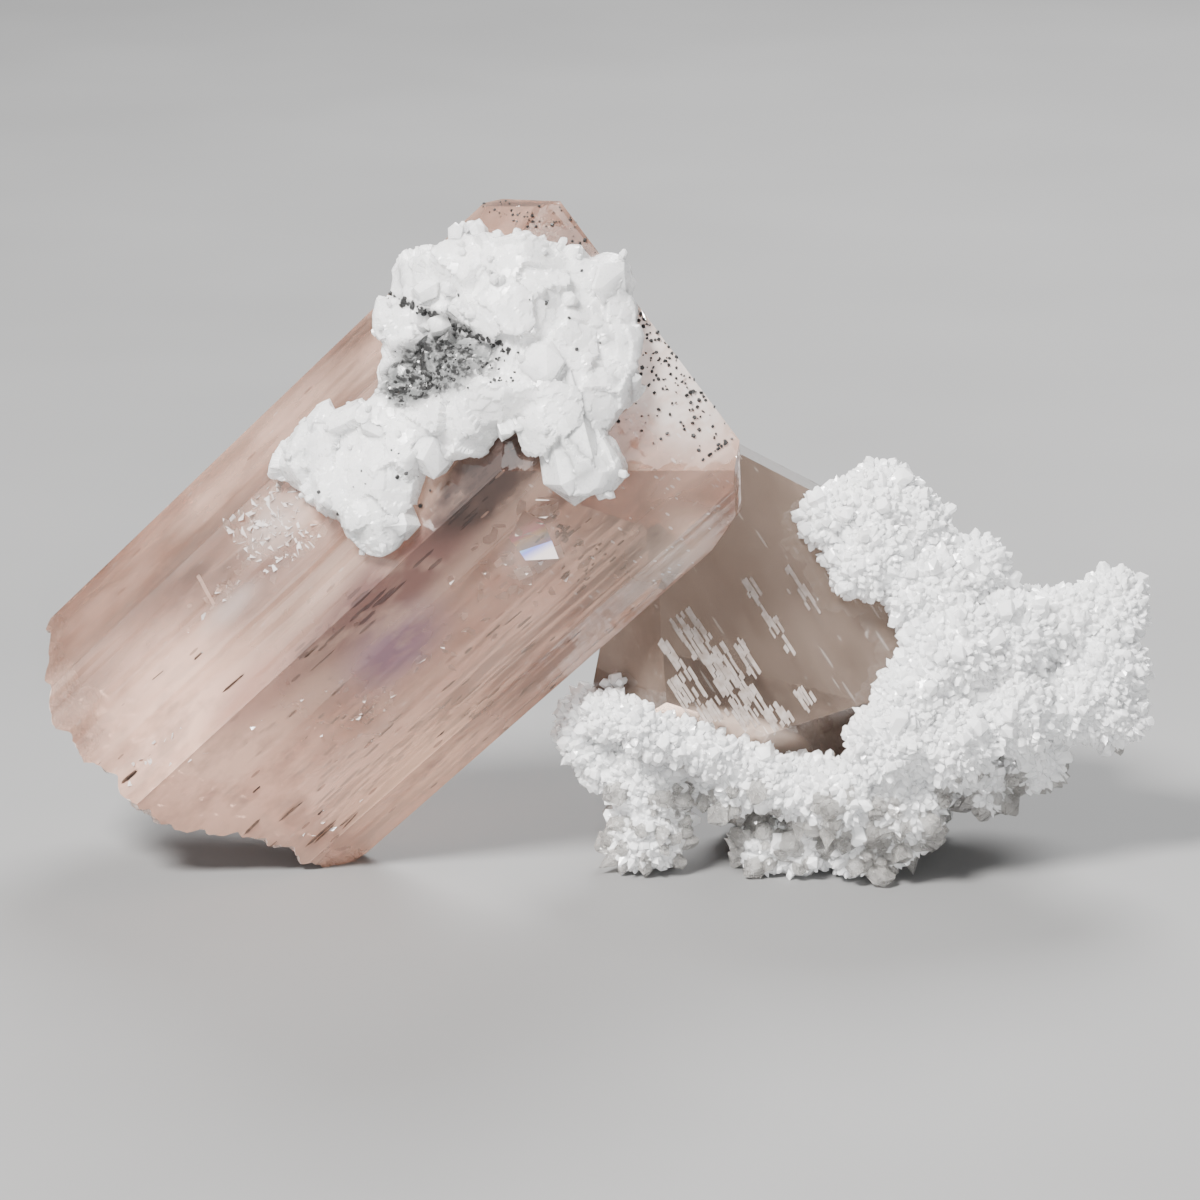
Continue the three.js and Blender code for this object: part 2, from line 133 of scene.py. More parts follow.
def noise(points, seed=0):
    """Smooth noise from 0 to 1 at each point."""
    cell = np.floor(points).astype(np.int64)
    share = points - cell
    share = share * share * (3 - 2 * share)
    total = np.zeros(len(points))
    for corner in np.ndindex(2, 2, 2):
        weight = np.ones(len(points))
        for axis in range(3):
            weight *= share[:, axis] if corner[axis] else 1 - share[:, axis]
        place = cell + np.array(corner)
        total += weight * lattice_value(place[:, 0], place[:, 1], place[:, 2], seed)
    return total


def streaks(across, along, seed):
    """Noise drawn out along a crystal."""
    return noise(np.stack([across, along, np.zeros(len(across))], axis=1), seed)


# Frames and planes

def unit(vector):
    vector = np.asarray(vector, dtype=float)
    return vector / np.linalg.norm(vector)


def units(vectors):
    return vectors / np.linalg.norm(vectors, axis=1)[:, None]


def circle(count, turns=0.0):
    """Points of a unit circle in XY."""
    angles = np.arange(count) * 2 * math.pi / count + turns
    return np.stack([np.cos(angles), np.sin(angles), np.zeros(count)], axis=1)


def turn(axis, degrees):
    return np.array(Matrix.Rotation(math.radians(degrees), 3, axis))


class Crystal:
    """A convex crystal: faces in its own frame, and where that frame lies in the specimen."""

    def __init__(self, normals, distances, axes, place):
        self.normals = np.array([unit(n) for n in normals])
        self.distances = np.array(distances, dtype=float)
        self.axes = np.array(axes)
        self.place = np.array(place, dtype=float)

    def to_specimen(self, points):
        return points @ self.axes.T + self.place

    def to_own(self, points):
        return (points - self.place) @ self.axes

    def outside(self, points):
        """How far outside the crystal each point of the specimen lies, and the nearest face's normal."""
        gaps = self.to_own(points) @ self.normals.T - self.distances
        nearest = gaps.argmax(axis=1)
        return gaps.max(axis=1), self.normals[nearest] @ self.axes.T


def prism_normal(angle, side, depth):
    return (side * math.sin(angle), depth * math.cos(angle), 0)


LEANING_FACES = [
    (prism_normal(PRISM_TURN, 1, -1), 11.1),
    (prism_normal(PRISM_TURN, -1, -1), 11.1),
    (prism_normal(SIDE_TURN, 1, -1), 13.8),
    (prism_normal(SIDE_TURN, -1, -1), 13.3),
    (prism_normal(PRISM_TURN, 1, 1), 10.7),
    (prism_normal(PRISM_TURN, -1, 1), 10.9),
    (prism_normal(SIDE_TURN, 1, 1), 13.4),
    (prism_normal(SIDE_TURN, -1, 1), 13.3),
    ((1, 0, 0), 17.1),
    ((-1, 0, 0), 17.4),
    ((0, -math.sin(ROOF_SLOPE), math.cos(ROOF_SLOPE)), 7.1),
    ((0.097, math.sin(BACK_ROOF_SLOPE), math.cos(BACK_ROOF_SLOPE)), 1.9),
    ((0.76, 0, 0.651), 13.1),
    ((0.974, 0, 0.225), 16.05),
    ((-0.825, 0, 0.565), 15.75),
    ((0, 0, -1), LEANING_LENGTH),
]
FACE_RELIEF = {0: 0.05, 1: 0.16, 4: 0.16, 5: 0.16}  # the broad faces of the prism in that list
OTHER_RELIEF = 0.08
LEANING_STEP_BREADTH = 2.2
SECOND_RELIEF = 0.05
SECOND_STEP_BREADTH = 1.3
ROOF_FROM = 10  # the first face of the tip

leaning = Crystal(
    [normal for normal, _ in LEANING_FACES],
    [distance for _, distance in LEANING_FACES],
    turn("Y", 45.1) @ turn("X", 10) @ turn("Z", -8.9),
    LEANING_PLACE,
)


def second_crystal():
    """Its own frame has Z up the striations and Y into the crystal from the broad face."""
    back = -unit(SECOND_FACES[0][0])
    along = -unit(STRIATION)
    along = unit(along - back * (along @ back))
    axes = np.stack([np.cross(back, along), back, along], axis=1)
    normals = [unit(normal) @ axes for normal, _ in SECOND_FACES]
    return Crystal(normals, [distance for _, distance in SECOND_FACES], axes, SECOND_PLACE)


second = second_crystal()

# The view from the front, for places that were read off it
EYE_RISE = VIEW_DISTANCE * math.sin(VIEW_TILT)
EYE = np.array([0, -VIEW_DISTANCE * math.cos(VIEW_TILT), VIEW_HEIGHT + EYE_RISE])


def sightline(right, up):
    aim = np.array([right, up * math.sin(VIEW_TILT), VIEW_HEIGHT + up * math.cos(VIEW_TILT)])
    return unit(aim - EYE)


def seen(right, up, back):
    """The place that is seen so far right and up in the front view, and lies so far back."""
    line = sightline(right, up)
    return EYE + line * (back - EYE[1]) / line[1]


def on_crystal(crystal, right, up, lift=0.0):
    """The place where that line of sight meets a crystal, moved towards the eye by the lift."""
    line = sightline(right, up)
    normals = crystal.normals @ crystal.axes.T
    reach = crystal.distances + normals @ crystal.place - normals @ EYE
    slope = normals @ line
    facing = slope < 0
    return EYE + line * ((reach[facing] / slope[facing]).max() - lift)


def to_frame(points):
    """From the specimen's own millimetres to the frame of the solids, inside their box."""
    return np.clip((np.asarray(points) - FRAME_SHIFT) * MM, cad_box[0], cad_box[1])


# Meshes

UNTURNED = np.eye(3)
UNCUT_BLOCK = 300  # more than any crystal's reach
# Where each crystal is sliced along its own axes: from, to and step
LEANING_SLICES = [(-17, 17, 0.3), (-12.5, 12.5, 0.5), (-57, 12, 2.4)]
SECOND_SLICES = [(-26, 26, 0.26), (-2, 26, 1.4), (-30, 30, 1.2)]
ON_FACE = 2e-3  # a point nearer to a face than this belongs to it
EDGE_SHARE = 0.18  # how much of a face's relief its edges take
STEP_LEVELS = 7
SHARP_ANGLE = math.radians(22)


def shown(data):
    """An object of that mesh, light or camera, in the scene."""
    piece = bpy.data.objects.new(data.name, data)
    bpy.context.scene.collection.objects.link(piece)
    return piece


def new_piece(name, points, faces):
    mesh = bpy.data.meshes.new(name)
    mesh.from_pydata([tuple(p) for p in to_frame(points)], [], [tuple(int(i) for i in f) for f in faces])
    mesh.validate()
    return shown(mesh)


def evaluated(piece):
    """The piece's mesh with its modifiers applied."""
    graph = bpy.context.evaluated_depsgraph_get()
    return bpy.data.meshes.new_from_object(piece.evaluated_get(graph))


def mesh_arrays(mesh):
    """Points, triangles and point normals of a mesh."""
    mesh.calc_loop_triangles()
    points = np.empty(len(mesh.vertices) * 3)
    mesh.vertices.foreach_get("co", points)
    triangles = np.empty(len(mesh.loop_triangles) * 3, dtype=np.int64)
    mesh.loop_triangles.foreach_get("vertices", triangles)
    normals = np.empty(len(mesh.vertices) * 3)
    mesh.vertex_normals.foreach_get("vector", normals)
    return points.reshape(-1, 3), triangles.reshape(-1, 3), normals.reshape(-1, 3)


def cut(bm, place, normal, keep_all=False):
    geometry = bm.verts[:] + bm.edges[:] + bm.faces[:]
    plane = {"plane_co": Vector(place), "plane_no": Vector(normal)}
    result = bmesh.ops.bisect_plane(bm, geom=geometry, dist=1e-5, clear_outer=not keep_all, **plane)
    if keep_all:
        return
    edges = [e for e in result["geom_cut"] if isinstance(e, bmesh.types.BMEdge)]
    bmesh.ops.contextual_create(bm, geom=edges)


def crystal_mesh(crystal, slices):
    """The crystal's faces, each sliced into a fine grid along its own axes."""
    bm = bmesh.new()
    bmesh.ops.create_cube(bm, size=UNCUT_BLOCK)
    for normal, distance in zip(crystal.normals, crystal.distances):
        cut(bm, normal * distance, normal)
    for direction, span in zip(UNTURNED, slices):
        for place in np.arange(*span):
            cut(bm, direction * place, direction, keep_all=True)
    return bm


def bm_points(bm):
    return np.array([v.co[:] for v in bm.verts])


def sink(crystal, points, relief):
    """Moves the points of each face inwards by its relief, and the points of an edge much less."""
    gaps = points @ crystal.normals.T - crystal.distances
    on_face = np.abs(gaps) < ON_FACE
    count = on_face.sum(axis=1)
    moved = points.copy()
    for face in range(len(crystal.normals)):
        own = on_face[:, face]
        if not own.any():
            continue
        depth = relief(face, points[own])
        depth = np.where(count[own] > 1, depth * EDGE_SHARE, depth)
        moved[own] -= crystal.normals[face] * depth[:, None]
    return moved


def terraces(crystal, face, points, seed, height, breadth):
    """Growth steps that run along the crystal, with finer streaks on them."""
    normal = crystal.normals[face]
    side = np.cross(normal, [0, 0, 1])
    if np.linalg.norm(side) < 0.1:
        side = np.array([1.0, 0, 0])
    across = points @ unit(side)
    along = points[:, 2]
    wide = streaks(across / breadth, along / 44, seed)
    middle = streaks(across / breadth * 2.4, along / 26, seed + 1)
    fine = streaks(across / breadth * 5, along / 15, seed + 2)
    level = 0.5 * wide + 0.35 * middle + 0.15 * fine
    return height * (np.floor(level * STEP_LEVELS) / STEP_LEVELS * 0.88 + 0.12 * fine)


def rim_height(x):
    places = np.array(BROKEN_RIM, dtype=float)
    return np.interp(x, places[:, 0], places[:, 1])


def break_height(x, y):
    """The broken foot: shell-like waves with small steps, as in the solids, and finer splinters."""
    shell = 0.9 * np.sin(0.42 * x + 0.31 * y) + 0.6 * np.sin(1.3 * y - 0.7 * x)
    grain = 0.5 * np.sin(3.1 * x + 2.3 * y) * np.cos(2.7 * y)
    scoop = 1.8 * np.cos(np.pi * y / 24)
    here = np.stack([x, y, np.zeros(len(x))], axis=1)
    splinters = 0.7 * np.floor(noise(here / 1.7, 61) * 4) / 4 + 0.4 * noise(here / 0.7, 62) - 0.45
    return rim_height(x) + scoop - 1 + 0.7 * (shell + grain) + splinters


def leaning_relief(face, points):
    if face >= ROOF_FROM:
        lines = streaks(points[:, 0] / 2.1, points[:, 2] / 6, face)
        return 0.1 * lines + 0.08 * noise(points / 1.1, face + 30)
    height = FACE_RELIEF.get(face, OTHER_RELIEF)
    return terraces(leaning, face, points, 10 * face, height, LEANING_STEP_BREADTH)


def second_relief(face, points):
    return terraces(second, face, points, 200 + 10 * face, SECOND_RELIEF, SECOND_STEP_BREADTH)


def leaning_piece():
    bm = crystal_mesh(leaning, LEANING_SLICES)
    points = sink(leaning, bm_points(bm), leaning_relief)
    share = 1 + TAPER * np.minimum(0, points[:, 2]) / LEANING_LENGTH
    points[:, :2] *= share[:, None]
    floor_of_break = break_height(points[:, 0], points[:, 1])
    below = points[:, 2] < floor_of_break
    points[below, 2] = floor_of_break[below]
    return finished_crystal(bm, "leaning", points, leaning, below)


def second_piece():
    bm = crystal_mesh(second, SECOND_SLICES)
    points = sink(second, bm_points(bm), second_relief)
    return finished_crystal(bm, "second", points, second, np.zeros(len(points), dtype=bool))


def finished_crystal(bm, name, points, crystal, broken):
    """The crystal as an object. Its faces take slot 0 or 1 by crystal, and slot 2 where it is broken."""
    own_slot = 0 if name == "leaning" else 1
    for face in bm.faces:
        face.material_index = 2 if all(broken[v.index] for v in face.verts) else own_slot
    for vert, place in zip(bm.verts, to_frame(crystal.to_specimen(points))):
        vert.co = place
    bmesh.ops.remove_doubles(bm, verts=bm.verts[:], dist=2e-6)
    bmesh.ops.triangulate(bm, faces=[f for f in bm.faces if len(f.verts) > 4])
    bmesh.ops.recalc_face_normals(bm, faces=bm.faces[:])
    mesh = bpy.data.meshes.new(name)
    bm.to_mesh(mesh)
    bm.free()
    return shown(mesh)


def danburite_piece(materials):
    """Both crystals as the one body that they grew into."""
    first = leaning_piece()
    other = second_piece()
    for piece in (first, other):
        for material in materials:
            piece.data.materials.append(material)
    union = first.modifiers.new("union", "BOOLEAN")
    union.operation = "UNION"
    union.solver = "EXACT"
    union.object = other
    mesh = evaluated(first)
    mesh.name = "danburite"
    mesh.polygons.foreach_set("use_smooth", np.full(len(mesh.polygons), True))
    mesh.set_sharp_from_angle(angle=SHARP_ANGLE)
    bpy.data.objects.remove(first)
    bpy.data.objects.remove(other)
    return shown(mesh)


# Calcite

# The druzy cluster's lumps as they look from the front, as [right, up, back, radius], as in the solids
CLUSTER_LUMPS = [
    (23.8, 8.1, 6.2, 3.6), (19.7, 7.2, 5, 2.9), (27, 5.8, 6, 3.3), (31.6, 2.6, 5.5, 3.3),
    (22.8, 3.4, 3.6, 3.9), (27.6, 0.9, 3, 3.9), (43.4, -0.7, 5.5, 3.6), (39.1, -2.1, 4.6, 3.4),
    (43.2, -5.5, 4, 3.6), (43.5, -9.5, 4, 3.3), (40.4, -8.5, 3, 3.7), (34.9, -3.4, 2.6, 4.2),
    (29.8, -4.3, 0.8, 4.7), (27, -7.9, -0.6, 4), (34.9, -9.4, 0.4, 4.2), (29.8, -11.9, -1.2, 4.2),
    (24.7, -12.3, -2.6, 3.8), (37, -13.6, 3.5, 2.7), (32.7, -15.6, 3, 2.5), (25.5, -17, -0.8, 3.8),
    (20.8, -16.6, -1, 3.5), (16.6, -16, 0, 3), (13.2, -14.7, -0.4, 2.7), (10, -13.2, -1.3, 2.5),
    (7, -12.1, -1.7, 2.5), (3.8, -10.8, -1.8, 2.5), (0.7, -9.8, 1, 2.3), (-1, -9.4, 3.4, 1.7),
]
HANGING_LUMPS = [
    (22.1, -21.3, 1, 3.2), (17, -21.2, 1.5, 2.9), (14, -21.2, 2, 2.7), (25.1, -19.8, 0.5, 2.5),
    (4.1, -20.2, 2.5, 3.5), (4.2, -16.6, 2.6, 3.6), (3.4, -13.8, 3.4, 3.7), (0, -12.2, 4.4, 3.5),
    (-0.8, -10.4, 5.4, 3.2),
]
REAR_LUMPS = [
    (11, -15, 2, 3.5), (17.5, -17.3, 5.6, 4.4), (18.5, -17.2, 10, 4.2), (25, -16.5, 7, 4.6),
    (20.5, -17.6, 14, 3.9), (14, -16, 13, 4.2), (27, -14.9, 13, 4.4), (33, -10.2, 12, 4.6),
    (39, -5, 9.5, 4.4), (36, -2, 10, 3.6), (30, 2.2, 11.5, 3.5), (24, 6.2, 11.5, 3.3),
]
# The crust's lumps, as [right, up, lift off the crystal, radius]
CRUST_LUMPS = [
    (-14.9, 26.8, 0.2, 2.5), (-11, 28.2, 0.3, 2.9), (-6.8, 28, 0.3, 3.1), (-3, 26.3, 0.2, 2.8),
    (0.4, 26.6, 0, 2.2), (-7.4, 24.2, 0.8, 3.3), (-3.4, 22.8, 0.6, 2.9), (0.9, 21.9, 0.4, 2.4),
    (-1.4, 20, 0.6, 2.4), (-4.4, 19.4, 1, 2.9), (0.6, 18, 0.8, 2.8), (-16, 24, 0.3, 2.4),
    (-12, 20.4, 0, 2.9), (-9, 17.2, 0.8, 3.2), (-11.8, 15.2, 1, 2.9), (-3.4, 15, 1.6, 3.2),
    (-1.1, 11.6, 1.8, 2.9), (-14.4, 15, 0.4, 2.9), (-18, 14.4, 0.8, 3.2), (-22, 13.8, 0.4, 2.8),
    (-25, 11.8, 0.2, 2.4), (-21.6, 10, 0.6, 3), (-17.6, 10.6, 0.8, 3.2), (-18.6, 7.2, 0.4, 2.9),
]
CONTACT = 0.04  # between a calcite body and the crystal that it grew on
ROOM_FOR_DRUSE = 0.55  # how much smaller the cluster's body is than its lumps in the solids
RELAXING = 6  # passes that smooth a body's lumps into one skin
CLUSTER_VOXEL = 0.45
CLUSTER_BRIDGE = 4.4  # lumps nearer than this get one more between them
MIDDLE_OF_CLUSTER = 26.0  # where its left and right pieces of druse meet
FINE_SPACING = 0.52
FINE_SIZES = (0.42, 1.0)
CLEAR_FRINGE = -15.5  # below this height in the picture the crystals turn clear
CRUST_VOXEL = 0.22
CRUST_BRIDGE = 5.6
# The crust's facets: spacing, tilt against each other, and how flat they are
CRUST_FACETS = [(2.8, 0.26, 0.85), (0.9, 0.2, 0.35)]


def off_crystals(points, gap=CONTACT):
    """Moves what lies inside a crystal out to its face."""
    for _ in range(2):
        for crystal in (leaning, second):
            out, normal = crystal.outside(points)
            inside = out < gap
            points[inside] += normal[inside] * (gap - out[inside])[:, None]
    return points


def bridged(lumps, reach):
    """The lumps, and one between each two that lie near each other."""
    filled = list(lumps)
    for i, (here, radius) in enumerate(lumps):
        for there, other in lumps[i + 1:]:
            if np.linalg.norm(here - there) < reach:
                filled.append(((here + there) / 2, 0.47 * (radius + other)))
    return filled


def faceted(points, triangles, normals, spacing, tilt, share, rng):
    """Flattens a skin into crystal facets that are a little tilted against each other."""
    places, ups = scattered(points, triangles, normals, spacing, rng)
    ups = units(ups + rng.normal(0, tilt, ups.shape))
    tree = KDTree(len(places))
    for index, place in enumerate(places):
        tree.insert(place, index)
    tree.balance()
    nearest = np.array([tree.find(point)[1] for point in points])
    lift = ((points - places[nearest]) * ups[nearest]).sum(axis=1)
    return points - normals * np.clip(lift * share, -0.7, 0.7)[:, None]


def grown_body(name, lumps, voxel, rough, grain):
    """One knobbly body from balls of calcite that grew into each other."""
    points = []
    faces = []
    for centre, radius in lumps:
        ball = bmesh.new()
        bmesh.ops.create_icosphere(ball, subdivisions=3, radius=radius)
        start = len(points)
        points += [centre + np.array(v.co[:]) for v in ball.verts]
        faces += [[start + v.index for v in f.verts] for f in ball.faces]
        ball.free()
    mesh = bpy.data.meshes.new(name)
    mesh.from_pydata(points, [], faces)
    piece = shown(mesh)
    remesh = piece.modifiers.new("one skin", "REMESH")
    remesh.mode = "VOXEL"
    remesh.voxel_size = voxel
    relax = piece.modifiers.new("relax", "SMOOTH")
    relax.iterations = RELAXING
    skin = evaluated(piece)
    bpy.data.objects.remove(piece)
    points, triangles, normals = mesh_arrays(skin)
    bumps = rough * (noise(points / 2.3, 7) - 0.45) + grain * (noise(points / 0.9, 8) - 0.5)
    points = points + normals * bumps[:, None]
    faces = [tuple(p.vertices) for p in skin.polygons]
    return off_crystals(points), triangles, normals, faces


NEIGHBOURS = [(i, j, k) for i in (-1, 0, 1) for j in (-1, 0, 1) for k in (-1, 0, 1)]
TRIES = 3.2  # random places tried for each one that could be kept
CLOSEST = 0.62  # share of the spacing that two kept places are at least apart


def scattered(points, triangles, normals, spacing, rng):
    """Places all over a skin, no two closer than their spacing, with the skin's normals there."""
    corners = points[triangles]
    sides = corners[:, 1:] - corners[:, :1]
    areas = np.linalg.norm(np.cross(sides[:, 0], sides[:, 1]), axis=1) / 2
    count = int(areas.sum() / spacing**2 * TRIES)
    chosen = rng.choice(len(triangles), size=count, p=areas / areas.sum())
    weights = rng.dirichlet((1, 1, 1), size=count)
    places = np.einsum("ij,ijk->ik", weights, corners[chosen])
    ups = np.einsum("ij,ijk->ik", weights, normals[triangles[chosen]])
    ups /= np.linalg.norm(ups, axis=1)[:, None] + 1e-9
    closest = spacing * CLOSEST
    cells = {}
    kept = []
    for index, place in enumerate(places):
        key = tuple(np.floor(place / spacing).astype(int))
        near = (cells.get((key[0] + i, key[1] + j, key[2] + k), ()) for i, j, k in NEIGHBOURS)
        if all(np.abs(place - places[other]).max() > closest for group in near for other in group):
            cells.setdefault(key, []).append(index)
            kept.append(index)
    return places[kept], ups[kept]


def wall(count):
    """Triangles between two rings of so many points."""
    faces = []
    for i in range(count):
        j = (i + 1) % count
        faces += [(i, j, count + j), (i, count + j, count + i)]
    return faces


def calcite_form(shoulder, tip, skew, width=0.5):
    """A six-sided calcite point one unit high: foot, shoulder with corners that rise and fall, tip."""
    ring = circle(6)
    foot = ring * width * 0.8 + [0, 0, -0.35]
    rise = np.array([skew, -skew] * 3)
    top = ring * width
    top[:, 2] = shoulder + rise
    crown = ring[::2] * width * tip
    crown[:, 2] = 1.0 - 0.12 * np.array([0, 1, 0.5])
    points = np.concatenate([foot, top, crown])
    faces = [(0, 2, 1), (0, 3, 2), (0, 4, 3), (0, 5, 4)] + wall(6)
    for i in range(3):
        low = 6 + 2 * i
        right = 6 + (2 * i + 1) % 6
        far = 6 + (2 * i + 2) % 6
        here, there = 12 + i, 12 + (i + 1) % 3
        faces += [(low, right, here), (right, there, here), (right, far, there)]
    faces.append((12, 13, 14))
    return points, np.array(faces)


DOG_TOOTH = calcite_form(0.35, 0.12, 0.1, 0.42)
BLUNT_POINT = calcite_form(0.5, 0.4, 0.14)
BLOCK = calcite_form(0.7, 0.72, 0.1, 0.6)
LONG_BLOCK = calcite_form(0.78, 0.7, 0.05, 0.5)


def spun(ups, tilt, rng):
    """A frame for each direction, tilted and turned at random."""
    ups = units(ups + rng.normal(0, tilt, ups.shape))
    side = units(np.cross(ups, rng.normal(0, 1, ups.shape)))
    return np.stack([side, np.cross(ups, side), ups], axis=2)


def crystals_at(places, ups, sizes, forms, tilt, rng, lengthen=(0.8, 1.3)):
    """Points and faces of one small crystal at each place."""
    frames = spun(ups, tilt, rng)
    form_of = rng.integers(0, len(forms), len(places))
    stretch = rng.uniform(*lengthen, len(places))
    all_points = []
    all_faces = []
    start = 0
    for number, (form_points, form_faces) in enumerate(forms):
        own = np.flatnonzero(form_of == number)
        if not len(own):
            continue
        scale = np.stack([sizes[own], sizes[own], sizes[own] * stretch[own]], axis=1)
        local = form_points[None] * scale[:, None]
        points = np.einsum("nij,nkj->nki", frames[own], local) + places[own][:, None]
        step = len(form_points)
        offsets = start + np.arange(len(own)) * step
        all_points.append(points.reshape(-1, 3))
        all_faces.append((form_faces[None] + offsets[:, None, None]).reshape(-1, 3))
        start += len(own) * step
    return np.concatenate(all_points), np.concatenate(all_faces)


def clear_of_crystals(places, margin):
    out_leaning, _ = leaning.outside(places)
    out_second, _ = second.outside(places)
    return (out_leaning > margin) & (out_second > margin)


def inside_box(tips):
    """Which tips stay inside the solids' box."""
    moved = (tips - FRAME_SHIFT) * MM
    return ((moved > cad_box[0]) & (moved < cad_box[1])).all(axis=1)


ROOT_GAP = 0.12  # from the roots and tips of small crystals to the danburite
TIP_GAP = 0.05
MANY_SMALL = 1.6  # above one, so more of the crystals are small


def druse_on(body, spacing, size, forms, tilt, rng, keep):
    """Small crystals all over a body, where the keep function lets them grow."""
    points, triangles, normals, _ = body
    places, ups = scattered(points, triangles, normals, spacing, rng)
    good = clear_of_crystals(places, ROOT_GAP) & clear_of_crystals(places + ups * size[1] * 0.6, TIP_GAP)
    good &= keep(places, rng)
    sizes = size[0] + (size[1] - size[0]) * rng.random(len(places)) ** MANY_SMALL
    good &= inside_box(places + ups * sizes[:, None] * 1.15)
    places, ups, sizes = places[good], ups[good], sizes[good]
    return crystals_at(places, ups, sizes, forms, tilt, rng)


def joined(parts):
    """One list of points and faces from several."""
    points = []
    faces = []
    start = 0
    for part_points, part_faces in parts:
        points.append(part_points)
        faces += [tuple(int(i) + start for i in face) for face in part_faces]
        start += len(part_points)
    return np.concatenate(points), faces


def cluster_pieces():
    """The druzy cluster: its white body and crystals, and the clearer crystals on its underside."""
    rng = np.random.default_rng(4)
    every = CLUSTER_LUMPS + HANGING_LUMPS + REAR_LUMPS
    lumps = [(seen(right, up, back), radius - ROOM_FOR_DRUSE) for right, up, back, radius in every]
    body = grown_body("cluster body", bridged(lumps, CLUSTER_BRIDGE), CLUSTER_VOXEL, 1.1, 0.5)
    points, _, _, faces = body

    def left_part(places, _):
        return places[:, 0] < MIDDLE_OF_CLUSTER

    def right_part(places, _):
        return places[:, 0] >= MIDDLE_OF_CLUSTER

    def glassy(places, rng):
        lit = (places[:, 2] - VIEW_HEIGHT) * math.cos(VIEW_TILT) + places[:, 1] * math.sin(VIEW_TILT)
        fringe = CLEAR_FRINGE + 0.25 * np.clip(places[:, 0] - 25, 0, 18)
        under = np.clip((fringe - lit) / 4, 0, 1)
        return rng.random(len(places)) < under * 0.7

    def one_in_five(places, rng):
        return rng.random(len(places)) < 0.2

    pointed = [BLUNT_POINT, DOG_TOOTH, BLUNT_POINT]
    fine = druse_on(body, FINE_SPACING, FINE_SIZES, pointed, 0.45, rng, left_part)
    rng = np.random.default_rng(5)
    right = druse_on(body, FINE_SPACING, FINE_SIZES, pointed, 0.4, rng, right_part)
    large = druse_on(body, 1.4, (1.0, 1.55), [BLUNT_POINT, BLOCK], 0.45, rng, one_in_five)
    clear = druse_on(body, 1.1, (1.0, 2.0), [DOG_TOOTH, BLUNT_POINT, BLOCK], 0.45, rng, glassy)
    return (
        new_piece("calcite_druse_left", *joined([(points, faces), fine])),
        new_piece("calcite_druse_right", *joined([right, large])),
        new_piece("clear_calcite_points", *clear),
    )


# Blunt crystals that stand out of the crust, as
# [right, up, lift, width, length, (right, up, out) that they point to]
CRUST_BLOCKS = [
    (-3, 16.4, 1.6, 6.2, 8, (0.2, -0.97, 0.08)),
    (-4.3, 19.6, 1.8, 4, 3, (-0.3, 0.2, 0.9)),
    (1, 18.6, 0.6, 3.8, 2.8, (0.4, -0.3, 0.8)),
    (1.1, 22, 0.8, 3.2, 2, (0.2, 0.2, 0.9)),
    (0.4, 26.8, 0.6, 4.2, 2.2, (0.5, -0.1, 0.9)),
    (-15.2, 26.4, 0.4, 4.2, 2.2, (-0.4, 0.3, 0.8)),
    (-17.6, 8.2, 0.6, 3.8, 3.6, (0.2, -0.9, 0.4)),
    (-20.6, 9.4, 0.4, 3.6, 3, (-0.2, -0.8, 0.5)),
    (-15, 12.8, 1.2, 4.2, 2.8, (0.7, -0.2, 0.6)),
    (-22.8, 13, 0.9, 4.4, 2.4, (-0.5, 0.2, 0.8)),
    (-18.4, 14.6, 1.2, 4.8, 2.4, (0.1, 0.5, 0.8)),
]
# Thin calcite between the lumps, also in the crust's hollow
LOW_LUMPS = [
    (-13, 24.8, -0.6, 2.5), (-10.4, 23.4, -0.8, 2.5), (-9.4, 25.6, -0.4, 2.6), (-15.4, 21.6, -1.2, 2.4),
    (-13.6, 19.2, -1.5, 2.4), (-16.2, 18.6, -1.6, 2.3), (-11.2, 21.6, -1.3, 2.4),
    (-10.2, 18.8, -1.4, 2.4), (-16.6, 16.6, -1.2, 2.1), (-5.6, 17.4, -0.6, 2.6), (-6.2, 21.4, -0.4, 2.6),
]
EDGE_OF_CRUST = 2.6  # how far right small crystals stand on it
LEAST_CRUST = 0.35  # how thick it stays in its hollow
HOLLOW_IN_CRUST = [(-12.8, 20, 2.4), (-15.4, 18.8, 2), (-9.8, 19.6, 1.8)]  # right, up, radius


def view_direction(right, up, out):
    """A direction given as it looks from the front."""
    rise = np.array([0, math.sin(VIEW_TILT), math.cos(VIEW_TILT)])
    nearer = np.array([0, -math.cos(VIEW_TILT), math.sin(VIEW_TILT)])
    return unit(np.array([1.0, 0, 0]) * right + rise * up + nearer * out)


VIEW_AXES = np.stack([view_direction(*way) for way in UNTURNED], axis=1)


def on_leaning(lumps):
    return [(on_crystal(leaning, right, up, lift), radius) for right, up, lift, radius in lumps]


